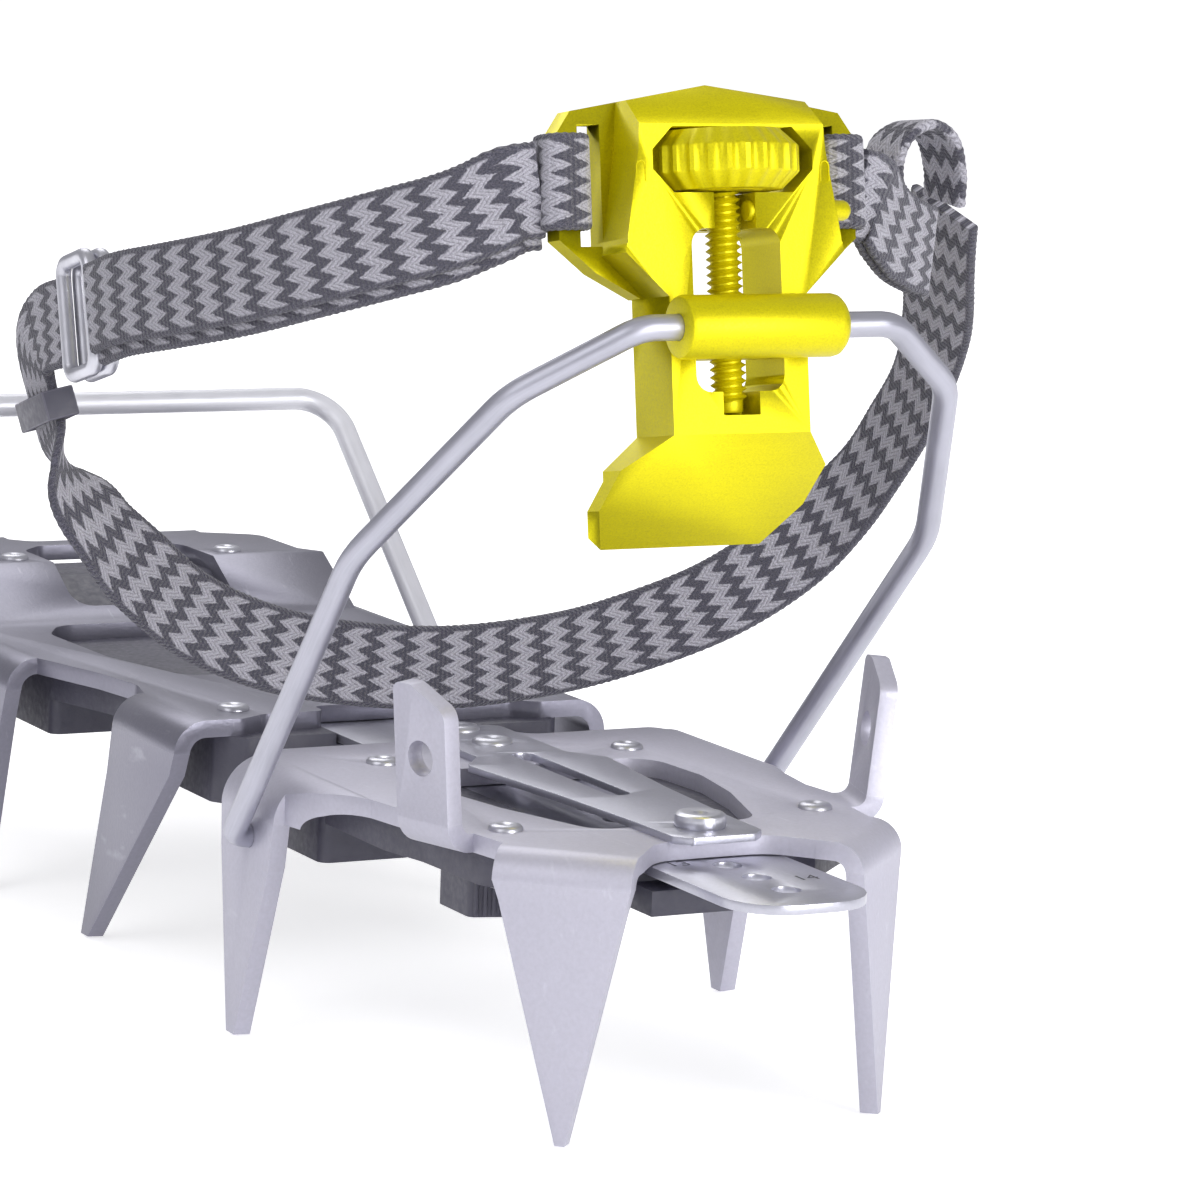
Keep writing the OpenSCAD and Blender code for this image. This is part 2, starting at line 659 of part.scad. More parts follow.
module lever_body() {
  wings = both([
    [0, lever_top], [roof_half, lever_top - roof_fall], [lever_half, lever_top - 7.6],
    [lever_half, 14], [lever_half - 6, 9], [waist_half + 0.6, 5], [0, 5]
  ]);
  block = both([
    [0, lever_top], [block_top_half, lever_top - roof_fall * block_top_half / roof_half], [16.3, 27], [19, 11.6],
    [waist_half, 5], [0, 5]
  ]);
  blade = both([
    [0, 6], [waist_half, 6], [waist_half, -16], [18, -21], [18, -27], [14, -33.2], [0, -33.2]
  ]);
  block_side = [
    [lever_off, 4], [lever_off, 31], [lever_far - bar_depth, lever_top], [lever_far, lever_top], [lever_far, 4]
  ];
  blade_side = [
    [lever_off, 7], [lever_off, -16], [27, -33], [28.6, -31.1], [lever_far, -22.5], [lever_far, 7]
  ];
  window_high = window_low + window_h;
  color(lever_yellow) at_lever() difference() {
    union() {
      through_lever(wings, lever_far - bar_depth, lever_far);
      intersection() {
        through_lever(block, lever_off, lever_far);
        across_lever(block_side);
      }
      intersection() {
        through_lever(blade, 0, 40);
        across_lever(blade_side);
      }
    }
    through_lever([for (c = [
      [-1, 0, 0, 1], [-1, 0, 1, 0], [1, 0, 1, 0], [1, 0, 0, 1], [1, 1, 0, -1], [1, 1, -1, 0], [-1, 1, -1, 0], [-1, 1, 0, -1]
    ]) [c[0] * (window_half - window_cut * abs(c[2])), window_low + c[1] * window_h + c[3] * window_cut]], 0, 40);
    through_lever(rounded([
      [-slot_half, slot_low, 2.5], [slot_half, slot_low, 2.5], [slot_half, slot_high, 2.5], [-slot_half, slot_high, 2.5]
    ]), 0, 40);
    translate([-neck_half, 0, slot_high - 1]) cube([2 * neck_half, screw_off, window_low - slot_high + 2]);
    translate([0, screw_off, slot_high - 1]) cylinder(r = neck_half, h = window_low - slot_high + 2);
    translate([-pocket_half, 0, pocket_low]) cube([2 * pocket_half, screw_off, slot_low - pocket_low + 1]);
    translate([0, screw_off, pocket_low]) cylinder(r = pocket_half, h = slot_low - pocket_low + 1);
    both_sides() through_lever([
      [strap_slot_in, bar_side[1]], [bar_side[0], bar_side[1]], [bar_side[0], bar_side[2]],
      [strap_slot_in, bar_side[2]]
    ], 0, 40);
    translate([0, pin_depth, pin_b]) rotate([0, 90, 0]) cylinder(d = pin_d + 2 * running_gap, h = 40);
  }
}

module adjuster_screw() {
  top = window_low + window_h - window_gap - 1;
  color(bright_steel) at_lever() translate([0, screw_off, 0]) {
    translate([0, 0, pocket_low + 0.4]) cylinder(d1 = screw_d - 1.6, d2 = screw_d, h = 0.8);
    translate([0, 0, pocket_low + 1.2]) cylinder(d = screw_d, h = top - pocket_low - 1.2);
  }
}

module thumb_wheel() {
  chamfer = 2.7;
  r = wheel_d / 2;
  color(lever_yellow) at_lever() translate([0, screw_off, window_low + window_gap]) difference() {
    rotate_extrude() polygon([
      [0, 0], [r - chamfer, 0], [r, chamfer], [r, wheel_t - chamfer], [r - chamfer, wheel_t], [0, wheel_t]
    ]);
    translate([0, 0, -1]) cylinder(d = screw_d + running_gap, h = wheel_t);
  }
}

// Pressed in from the side; its end bears on the screw, so that the screw stays set
module screw_pin() {
  color(lever_yellow) at_lever() translate([pin_in, pin_depth, pin_b]) rotate([0, 90, 0])
    cylinder(d = pin_d, h = pin_out - pin_in);
}

// Webbing sewn round one strap bar of the lever
module strap_round_bar(left) {
  low = strap_mid_b - strap_w / 2;
  near = lever_far - bar_depth;
  at_lever() mirror([left ? 1 : 0, 0, 0]) translate([0, 0, low]) linear_extrude(strap_w) difference() {
    polygon(rounded([
      [bar_side[0] - strap_gap - strap_t, near - strap_gap - strap_t, 1.6],
      [lever_half + strap_gap + strap_t, near - strap_gap - strap_t, 1.6],
      [lever_half + strap_gap + strap_t, lever_far + strap_gap + strap_t, 1.6],
      [bar_side[0] - strap_gap - strap_t, lever_far + strap_gap + strap_t, 1.6]
    ]));
    polygon([
      [bar_side[0] - strap_gap, near - strap_gap], [lever_half + strap_gap, near - strap_gap],
      [lever_half + strap_gap, lever_far + strap_gap], [bar_side[0] - strap_gap, lever_far + strap_gap]
    ]);
  }
}

module strap_bar_left() {
  color(webbing) strap_round_bar(true);
}

module strap_bar_right() {
  color(webbing) strap_round_bar(false);
}

module strap_left() {
  color(webbing) band(ROUTE_LEFT, strap_w, 2 * strap_t, same(UP, ROUTE_LEFT));
}

module strap_right() {
  color(webbing) band(ROUTE_RIGHT, strap_w, 2 * strap_t, same(UP, ROUTE_RIGHT));
}

module strap_fold() {
  color(webbing) band(ROUTE_FOLD, 9, strap_t, same(FORE, ROUTE_FOLD));
}

module strap_ankle() {
  color(webbing) band(ROUTE_ANKLE, strap_w, strap_t, HINT_ANKLE);
}

// Two rings that the webbing's tail is threaded through, between the ends of the two stretches
module strap_buckle() {
  from = ROUTE_LEFT[len(ROUTE_LEFT) - 1];
  to = ROUTE_ANKLE[len(ROUTE_ANKLE) - 1];
  middle = (from + to) / 2;
  length = strap_w + ring_d + 1;
  width = norm(to - from) - ring_d - 2 * seat_gap;
  outline = [[0, -length / 2], [-width / 2, -length / 2], [-width / 2, length / 2], [width / 2, length / 2],
    [width / 2, -length / 2], [0, -length / 2]];
  color(bright_steel) for (k = [0, 1])
    translate(middle + [k * (ring_d + seat_gap), 0, 0])
      rotate([atan2(to.z - from.z, to.y - from.y), 0, 0]) rotate([90, 0, 90]) wire_loop(outline, 2.2, ring_d);
}

module strap_keeper() {
  at = ROUTE_ANKLE[keeper_at];
  way = unit(ROUTE_ANKLE[keeper_at + 1] - ROUTE_ANKLE[keeper_at - 1]);
  across = unit(HINT_ANKLE[keeper_at] - (HINT_ANKLE[keeper_at] * way) * way);
  out = cross(way, across);
  inner = [strap_t + 2 * keeper_gap, strap_w + 2 * keeper_gap];
  wall = 1;
  color(plastic) multmatrix([
    [out.x, across.x, way.x, at.x], [out.y, across.y, way.y, at.y], [out.z, across.z, way.z, at.z]
  ]) translate([0, 0, -2.5]) linear_extrude(5) difference() {
    square(inner + 2 * wall * [1, 1], center = true);
    square(inner, center = true);
  }
}

function front_outline() = mirrored_rounded([
  [0, front_rear_y + notch_depth, 0], [12.3, front_rear_y + notch_depth, 1.5], [12.3, front_rear_y, 1.5],
  [24, front_rear_y, 4], [29, tail_blade_y[0], 3], [tail_half, tail_blade_y[0], 0],
  [tail_half, tail_blade_y[1], 0], [34, 157, 8], [36, 170, 12], [front_half, side_y[0], 0],
  [front_half, side_y[1], 0], [toe_half, side_y[1] + 5, 2], [toe_half, toe_front_y - 6, 5],
  [prong_x + prong_w / 2, toe_front_y, 0], [prong_x - prong_w / 2, toe_front_y, 0], [11, toe_front_y - 4, 5],
  [0, toe_front_y - 4, 0]
]);
function front_opening() = mirrored_rounded([
  [0, 163, 0], [22, 163, 5], [28, 186, 10], [29, 212, 8], [24, 221, 6], [0, 221, 0]
]);
function toe_opening() = mirrored_rounded([[0, 229, 0], [17, 229, 4], [17, 257, 5], [12, 262, 3], [0, 262, 0]]);

// The frame sheet steps up to the toe platform, so its section is drawn from the side
module front_sheet() {
  section = [
    [100, plate_low], [ramp_y[0], plate_low], [ramp_y[1], plate_low + toe_rise], [300, plate_low + toe_rise],
    [300, ride_h + toe_rise], [ramp_y[1] - 0.8, ride_h + toe_rise], [ramp_y[0] - 0.8, ride_h], [100, ride_h]
  ];
  intersection() {
    linear_extrude(2 * ride_h) difference() {
      polygon(rounded(front_outline()));
      polygon(rounded(front_opening()));
      polygon(rounded(toe_opening()));
    }
    translate([-60, 0, 0]) rotate([90, 0, 90]) linear_extrude(120) polygon(section);
  }
}

module tail_blade() {
  root = tail_blade_y[1] - tail_blade_y[0];
  translate([tail_half, tail_blade_y[0] + root / 2, ride_h]) {
    bend(bend_front, wide_splay, root);
    flap(bend_front, wide_splay) polygon([
      [-flap_lap, -root / 2 + flap_skin], [4, -root / 2 + 1.5], [front_blade_len, root / 2 + 5], [front_blade_len, root / 2 + 5 + tip_w],
      [8, root / 2 + 1], [-flap_lap, root / 2 - flap_skin]
    ]);
  }
}

module side_flange() {
  root = side_y[1] - side_y[0];
  translate([front_half, side_y[0] + root / 2, ride_h]) {
    bend(bend_front, wide_splay, root);
    flap(bend_front, wide_splay) translate([0, -root / 2]) polygon([
      [-flap_lap, flap_skin], [5, 1.6], [front_blade_len, 9], [front_blade_len, 9 + tip_w], [11, 20], [9, 24], [9, 34], [12, 38],
      [front_blade_len, 62], [front_blade_len, 62 + tip_w], [5, root + 2.5], [-flap_lap, root - flap_skin]
    ]);
  }
}

// A front point: flat and wide at its root, drawn down to a narrow tip, with a rib along its middle
module prong() {
  low = ride_h + toe_rise - prong_t;
  side = [
    [toe_front_y - 10, ride_h + toe_rise], [toe_front_y + 3, ride_h + toe_rise], [toe_front_y + 12, ride_h + toe_rise - 7],
    [prong_y, prong_z + 2], [prong_y, prong_z], [prong_y - 3, prong_z + 1.5],
    [toe_front_y + 8, low - 6], [toe_front_y + 1, low], [toe_front_y - 10, low]
  ];
  rib = [
    [toe_front_y - 10, low], [toe_front_y + 2, low], [toe_front_y + 9, low - 6], [prong_y - 4, prong_z + 1],
    [toe_front_y + 6, low - 13], [toe_front_y - 3, low - 4.5], [toe_front_y - 10, low - 2]
  ];
  top = [
    [prong_x - prong_w / 2, toe_front_y - 10], [prong_x + prong_w / 2, toe_front_y - 10],
    [prong_x + prong_w / 2, toe_front_y + 3], [prong_x + 3, prong_y + 1], [prong_x - 3, prong_y + 1],
    [prong_x - prong_w / 2, toe_front_y + 3]
  ];
  intersection() {
    linear_extrude(2 * ride_h) polygon(top);
    rotate([90, 0, 90]) linear_extrude(60) polygon(side);
  }
  translate([prong_x - 1.5, 0, 0]) rotate([90, 0, 90]) linear_extrude(3) polygon(rib);
}

module front_frame() {
  hole = rivet_d + 2 * running_gap;
  color(steel) difference() {
    union() {
      front_sheet();
      both_sides() {
        tail_blade();
        side_flange();
        prong();
      }
    }
    both_sides() {
      translate([front_rivet_rear.x, front_rivet_rear.y, plate_low - 1]) cylinder(d = hole, h = sheet_t + 2);
      translate([front_rivet_toe.x, front_rivet_toe.y, plate_low - 1]) cylinder(d = hole, h = sheet_t + toe_rise + 2);
      for (y = [toe_bail_y, spare_hole_y]) translate([toe_pin_in, y, toe_bail_z]) rotate([0, 90, 0])
        cylinder(d = toe_wire_d + 2 * running_gap, h = 20);
    }
    for (y = bar_bolt_y) translate([0, y, plate_low - 1]) cylinder(d = rivet_d + 1 + 2 * running_gap, h = sheet_t + 2);
  }
}

module front_snow_plate() {
  low = snow_floor_top - snow_t;
  color(plastic) difference() {
    union() {
      intersection() {
        linear_extrude(2 * ride_h) polygon(both([
          [0, front_rear_y - snow_back], [24, front_rear_y - snow_back], [33, front_rear_y], [33.5, 148], [31, 158], [32, 172],
          [37, 190], [37, 216], [34, 224], [34, snow_front_y], [0, snow_front_y]
        ]));
        translate([-60, 0, 0]) rotate([90, 0, 90]) linear_extrude(120) polygon([
          [100, low], [ramp_y[0], low], [ramp_y[1], low + toe_rise], [300, low + toe_rise],
          [300, plate_low + toe_rise], [ramp_y[1], plate_low + toe_rise], [ramp_y[0], plate_low], [100, plate_low]
        ]);
      }
      both_sides() {
        translate([0, 0, plate_low - snow_block_h]) linear_extrude(snow_block_h) polygon(rounded([
          [16, front_rear_y - snow_back, 2], [29.5, front_rear_y - snow_back, 2], [33.5, front_rear_y, 2], [33.5, 142, 2], [20, 142, 2]
        ]));
        translate([0, 0, plate_low - snow_block_h]) linear_extrude(snow_block_h) polygon(rounded([
          [24, 190, 2], [37, 190, 2], [37, 214, 2], [28, 222, 2], [22, 214, 2]
        ]));
      }
    }
    translate([0, 0, snow_floor_top]) linear_extrude(10)
      polygon([[-bar_half - 0.4, 100], [bar_half + 0.4, 100], [bar_half + 0.4, bar_front_y + 1], [-bar_half - 0.4, bar_front_y + 1]]);
    both_sides() for (p = [front_rivet_rear, front_rivet_toe])
      translate([p.x, p.y, 0]) cylinder(d = rivet_d + 2 * running_gap, h = 2 * ride_h);
    for (y = bar_bolt_y) translate([0, y, 0]) cylinder(d = rivet_d + 1 + 2 * running_gap, h = ride_h);
  }
}

module front_rivets() {
  color(bright_steel) both_sides() {
    translate([front_rivet_rear.x, front_rivet_rear.y, 0]) rivet(ride_h, plate_low - snow_block_h);
    translate([front_rivet_toe.x, front_rivet_toe.y, 0]) rivet(ride_h + toe_rise, snow_floor_top - snow_t + toe_rise);
  }
}

module toe_bail() {
  half = [[toe_pin_in, 0], [toe_leg_half, 0], [toe_top_half, toe_bail_len]];
  color(wire_grey) translate([0, toe_bail_y, toe_bail_z]) rotate([toe_bail_angle, 0, 0])
    bail(half, [0, toe_corner_r, 9], toe_wire_d);
}

// The origin is under the middle of the length, from the bar's end to the front points
module placed() {
  translate([0, -mid_y, 0]) children();
}

placed() heel_frame();
placed() heel_snow_plate();
placed() heel_rivets_rear();
placed() heel_rivets_front();
placed() leaf_spring();
placed() leaf_rivets();
placed() locking_stud();
placed() link_bar();
placed() bar_bolts();
placed() bar_nuts();
placed() heel_bail();
placed() cross_nut();
placed() lever_body();
placed() adjuster_screw();
placed() thumb_wheel();
placed() screw_pin();
placed() strap_bar_left();
placed() strap_bar_right();
placed() strap_left();
placed() strap_right();
placed() strap_fold();
placed() strap_ankle();
placed() strap_buckle();
placed() strap_keeper();
placed() front_frame();
placed() front_snow_plate();
placed() front_rivets();
placed() toe_bail();
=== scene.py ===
"""Dressed model of a semi-rigid mountaineering crampon with a heel lever, a toe bail and an ankle strap.

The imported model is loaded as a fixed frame. Pieces are drawn in millimetres in the maker's own frame, whose
Y counts from the tips of the rear heel points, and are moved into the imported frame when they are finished.
"""
from __future__ import annotations

import logging
import math
from dataclasses import dataclass, field
from enum import Enum
from typing import Callable, Iterable, Optional, Sequence, Union

import bmesh
import bpy
from mathutils import Matrix, Vector
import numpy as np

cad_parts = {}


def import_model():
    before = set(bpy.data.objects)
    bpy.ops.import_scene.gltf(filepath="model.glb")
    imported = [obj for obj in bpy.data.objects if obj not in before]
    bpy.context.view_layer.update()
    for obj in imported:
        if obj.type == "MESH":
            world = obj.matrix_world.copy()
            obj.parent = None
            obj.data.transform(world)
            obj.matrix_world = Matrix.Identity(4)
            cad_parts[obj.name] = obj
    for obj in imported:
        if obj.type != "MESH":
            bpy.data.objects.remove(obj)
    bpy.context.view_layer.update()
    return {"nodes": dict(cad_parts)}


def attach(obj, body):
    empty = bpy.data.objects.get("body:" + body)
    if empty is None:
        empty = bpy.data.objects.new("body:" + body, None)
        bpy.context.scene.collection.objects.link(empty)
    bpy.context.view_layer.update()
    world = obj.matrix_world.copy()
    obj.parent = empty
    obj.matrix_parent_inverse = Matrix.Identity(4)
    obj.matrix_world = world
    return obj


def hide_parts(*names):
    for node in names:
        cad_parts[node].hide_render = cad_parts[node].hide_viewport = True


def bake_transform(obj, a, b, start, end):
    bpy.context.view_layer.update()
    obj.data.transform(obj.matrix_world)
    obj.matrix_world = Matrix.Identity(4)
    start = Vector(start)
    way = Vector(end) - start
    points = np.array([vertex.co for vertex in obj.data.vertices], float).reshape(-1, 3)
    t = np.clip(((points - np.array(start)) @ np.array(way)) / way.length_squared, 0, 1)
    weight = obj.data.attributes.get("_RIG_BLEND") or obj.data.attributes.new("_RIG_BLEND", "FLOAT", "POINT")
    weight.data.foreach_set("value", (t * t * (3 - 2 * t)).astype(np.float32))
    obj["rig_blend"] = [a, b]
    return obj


LOG = logging.getLogger("crampon")
MM = 0.001
MIDDLE_Y = 133.0
PLACE = Matrix.Scale(MM, 4) @ Matrix.Translation((0.0, -MIDDLE_Y, 0.0))
UP = Vector((0.0, 0.0, 1.0))
SAME_POINT = 2e-6
FLAT_TURN = math.radians(0.8)
SHARP_ANGLE = 32.0
SLAB_COLUMNS = 6
WEAVE_MAP = "weave"
ROUNDED_FACES = "rounded_faces"
RIVET_HEAD = 5.6
RIVET_SHANK = 4.0

Colour = tuple[float, float, float]
Socket = Union[bpy.types.NodeSocket, float]


class Body(Enum):
    """The moving bodies of the crampon."""

    FRONT = "front_unit"
    TOE_BAIL = "toe_bail"
    HEEL = "heel_unit"
    LOCK = "lock"
    HEEL_BAIL = "heel_bail"
    NUT = "nut"
    LEVER = "lever"
    SCREW = "screw"


class Side(Enum):
    """The side of the crampon, as the sign of X."""

    LEFT = -1
    RIGHT = 1


# Geometry tools


class Draft:
    """A mesh being made, in millimetres of the maker's frame."""

    def __init__(self) -> None:
        """Starts an empty mesh with its helper layers."""
        self.mesh = bmesh.new()
        self.find_layers()

    def find_layers(self) -> None:
        """Finds or makes the layers for a point's number in its section and its place along and across."""
        layers = self.mesh.verts.layers
        self.rank = layers.int.get("rank") or layers.int.new("rank")
        self.along = layers.float.get("along") or layers.float.new("along")
        self.across = layers.float.get("across") or layers.float.new("across")

    def take(self, data: bpy.types.Mesh) -> None:
        """Adds the faces of a finished mesh."""
        self.mesh.from_mesh(data)
        self.find_layers()

    def merge(self, gap: float) -> None:
        """Joins points that coincide."""
        bmesh.ops.remove_doubles(self.mesh, verts=self.mesh.verts, dist=gap)

    def turn_outwards(self) -> None:
        """Makes every face point outwards."""
        bmesh.ops.recalc_face_normals(self.mesh, faces=self.mesh.faces)

    def move(self, matrix: Matrix, verts: Optional[Iterable[bmesh.types.BMVert]] = None) -> None:
        """Transforms the whole mesh, or some of its points."""
        bmesh.ops.transform(self.mesh, matrix=matrix, verts=list(verts or self.mesh.verts))

    def prism(self, outline: Sequence[Sequence[float]], low: float, high: float) -> None:
        """Extrudes a flat outline upwards.

        Args:
            outline: Corners in the XY plane.
            low: Height of the bottom.
            high: Height of the top.
        """
        bottom = [self.mesh.verts.new((p[0], p[1], low)) for p in outline]
        face = self.mesh.faces.new(bottom)
        made = bmesh.ops.extrude_face_region(self.mesh, geom=[face])["geom"]
        top = [v for v in made if isinstance(v, bmesh.types.BMVert)]
        bmesh.ops.translate(self.mesh, verts=top, vec=(0.0, 0.0, high - low))

    def lathe(self, profile: Sequence[Sequence[float]], segments: int) -> list[bmesh.types.BMVert]:
        """Turns a profile of (radius, height) points once round Z.

        Args:
            profile: The points from one end to the other.
            segments: Steps in a full turn.

        Returns:
            The points of the turned shape.
        """
        before = set(self.mesh.verts)
        line = [self.mesh.verts.new((r, 0.0, z)) for r, z in profile]
        edges = [self.mesh.edges.new(pair) for pair in zip(line, line[1:])]
        bmesh.ops.spin(self.mesh, geom=line + edges, cent=(0, 0, 0), axis=(0, 0, 1), angle=math.tau,
                       steps=segments, use_merge=True)
        made = [v for v in self.mesh.verts if v not in before]
        bmesh.ops.remove_doubles(self.mesh, verts=made, dist=0.001)
        return [v for v in self.mesh.verts if v not in before]

    def sweep(self, line: Sequence[Vector], across: Sequence[Vector],
              ring: Callable[[int, float], Sequence[Sequence[float]]], closed: bool = False) -> None:
        """Draws a section along a line.

        Args:
            line: Middle points of the section.
            across: The section's own X direction at each point.
            ring: Gives the section's (x, y) points for a step and its distance along the line.
            closed: Whether the line ends where it starts.
        """
        count = len(line)
        travel = [0.0]
        for a, b in zip(line, line[1:]):
            travel.append(travel[-1] + (b - a).length)
        before = set(self.mesh.verts)
        bmesh.ops.create_circle(self.mesh, segments=len(ring(0, 0.0)), radius=1.0)
        loop = [v for v in self.mesh.verts if v not in before]
        for rank, v in enumerate(loop):
            v[self.rank] = rank
        edges = list({e for v in loop for e in v.link_edges})
        first = list(edges)
        for step in range(count):
            if step:
                made = bmesh.ops.extrude_edge_only(self.mesh, edges=edges)["geom"]
                loop = [g for g in made if isinstance(g, bmesh.types.BMVert)]
                picked = set(loop)
                edges = [e for v in loop for e in v.link_edges if e.other_vert(v) in picked]
                edges = list(dict.fromkeys(edges))
            ahead = line[(step + 1) % count] if closed else line[min(step + 1, count - 1)]
            behind = line[step - 1] if closed or step else line[0]
            way = (ahead - behind).normalized()
            side = (across[step] - way * across[step].dot(way)).normalized()
            out = way.cross(side)
            section = ring(step, travel[step])
            for v in loop:
                x, y = section[v[self.rank]]
                v.co = line[step] + side * x + out * y
                v[self.along] = travel[step]
                v[self.across] = x
        if closed:
            bmesh.ops.bridge_loops(self.mesh, edges=first + edges)
        else:
            for end in (first, edges):
                bmesh.ops.contextual_create(self.mesh, geom=end)

    def soften(self, width: float, segments: int, angle: float = SHARP_ANGLE) -> None:
        """Rounds the sharp edges and marks the rounded faces in a mask, which the finishes use for edge wear
        and, on the steel, for a painted highlight.

        Args:
            width: Distance of the rounding from the edge, in the mesh's own unit.
            segments: Faces across the rounding.
            angle: Edges that turn more than this are rounded, in degrees.
        """
        layers = self.mesh.loops.layers.float
        rounded_faces = layers.get(ROUNDED_FACES) or layers.new(ROUNDED_FACES)
        sharp = [e for e in self.mesh.edges if e.is_manifold and e.calc_face_angle(0.0) > math.radians(angle)]
        made = bmesh.ops.bevel(self.mesh, geom=sharp, offset=width, offset_type="OFFSET", affect="EDGES",
                               segments=segments, profile=0.5, material=-1, clamp_overlap=True)
        for face in made["faces"]:
            for loop in face.loops:
                loop[rounded_faces] = 1.0

    def finish(self, name: str, material: bpy.types.Material, body: Optional[Body], slot: str,
               replaces: Sequence[str] = (), smooth: float = 40.0, placed: bool = False,
               outwards: bool = True) -> bpy.types.Object:
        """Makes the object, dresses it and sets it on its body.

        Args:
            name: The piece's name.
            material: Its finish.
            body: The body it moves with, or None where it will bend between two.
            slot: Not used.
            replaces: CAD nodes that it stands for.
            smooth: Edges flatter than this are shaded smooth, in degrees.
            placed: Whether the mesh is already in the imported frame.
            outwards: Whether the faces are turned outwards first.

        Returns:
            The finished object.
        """
        if outwards:
            self.turn_outwards()
        if not placed:
            self.move(PLACE)
        weave = self.mesh.loops.layers.uv.new(WEAVE_MAP)
        for face in self.mesh.faces:
            face.smooth = True
            for loop in face.loops:
                loop[weave].uv = (loop.vert[self.along], loop.vert[self.across])
        data = bpy.data.meshes.new(name)
        self.mesh.to_mesh(data)
        self.mesh.free()
        data.set_sharp_from_angle(angle=math.radians(smooth))
        piece = bpy.data.objects.new(name, data)
        bpy.context.scene.collection.objects.link(piece)
        data.materials.append(material)
        if body:
            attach(piece, body.value)
        if replaces:
            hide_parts(*replaces)
        LOG.info("%s: %d faces on %s", name, len(data.polygons), body.value if body else "two bodies")
        return piece


def copy_of(node: bpy.types.Object) -> Draft:
    """Takes a merged copy of a CAD node's mesh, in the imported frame, as the start of a piece.

    Args:
        node: The CAD node's object.

    Returns:
        A draft in metres with flat faces joined.
    """
    draft = Draft()
    draft.take(node.data)
    draft.merge(SAME_POINT)
    bmesh.ops.dissolve_limit(draft.mesh, angle_limit=FLAT_TURN, verts=draft.mesh.verts,
                             edges=draft.mesh.edges)
    return draft


def smooth_route(points: Sequence[Sequence[float]], steps: int) -> list[Vector]:
    """Runs a smooth curve through given points.

    Args:
        points: The points, in millimetres.
        steps: New points from one to the next.

    Returns:
        The points of the curve.
    """
    p = [Vector(q) for q in points]
    last = len(p) - 1
    route = []
    for i in range(last):
        b, c = p[i], p[i + 1]
        a = p[i - 1] if i else 2 * b - c
        d = p[i + 2] if i + 2 <= last else 2 * c - b
        for k in range(steps):
            t = k / steps
            route.append(0.5 * (2 * b + (c - a) * t + (2 * a - 5 * b + 4 * c - d) * t ** 2
                                + (3 * b - a - 3 * c + d) * t ** 3))
    return route + [p[last]]


def bent_line(corners: Sequence[Sequence[float]], radii: Sequence[float], step: float) -> list[Vector]:
    """Rounds the corners of a flat line.

    Args:
        corners: (x, y) corners.
        radii: Bend radius at each corner; the ends' are not used.
        step: Degrees from one point of a bend to the next.

    Returns:
        Points in the XY plane.
    """
    p = [Vector((c[0], c[1], 0.0)) for c in corners]
    route = [p[0]]
    for i in range(1, len(p) - 1):
        a, b = (p[i] - p[i - 1]).normalized(), (p[i + 1] - p[i]).normalized()
        turn = math.atan2(a.x * b.y - a.y * b.x, a.dot(b))
        back = radii[i] * math.tan(abs(turn) / 2)
        side = math.copysign(1.0, turn)
        centre = p[i] - a * back + Vector((-a.y, a.x, 0.0)) * side * radii[i]
        count = max(2, math.ceil(abs(math.degrees(turn)) / step))
        heading = math.atan2(a.y, a.x)
        for k in range(count + 1):
            h = heading + turn * k / count
            route.append(centre + Vector((math.sin(h), -math.cos(h), 0.0)) * side * radii[i])
    return route + [p[-1]]


def round_section(radius: float, sides: int) -> list[tuple[float, float]]:
    """Gives the points of a round section."""
    turns = [math.tau * k / sides for k in range(sides)]
    return [(radius * math.cos(turn), radius * math.sin(turn)) for turn in turns]


def slab_section(width: float, thickness: float) -> list[tuple[float, float]]:
    """Gives the points of a flat section with rounded sides, from one side round to it again.

    Args:
        width: Width over the rounded sides.
        thickness: Thickness of the flat part.

    Returns:
        The section's points.
    """
    half, thin = width / 2, thickness / 2
    flat = half - thin
    right = [(flat + thin * math.cos(a), thin * math.sin(a)) for a in (-0.9, 0.0, 0.9)]
    top = [(flat - 2 * flat * k / SLAB_COLUMNS, thin) for k in range(SLAB_COLUMNS + 1)]
    left = [(-x, -y) for x, y in right]
    bottom = [(-x, -y) for x, y in top]
    return right + top + left + bottom


# Finishes


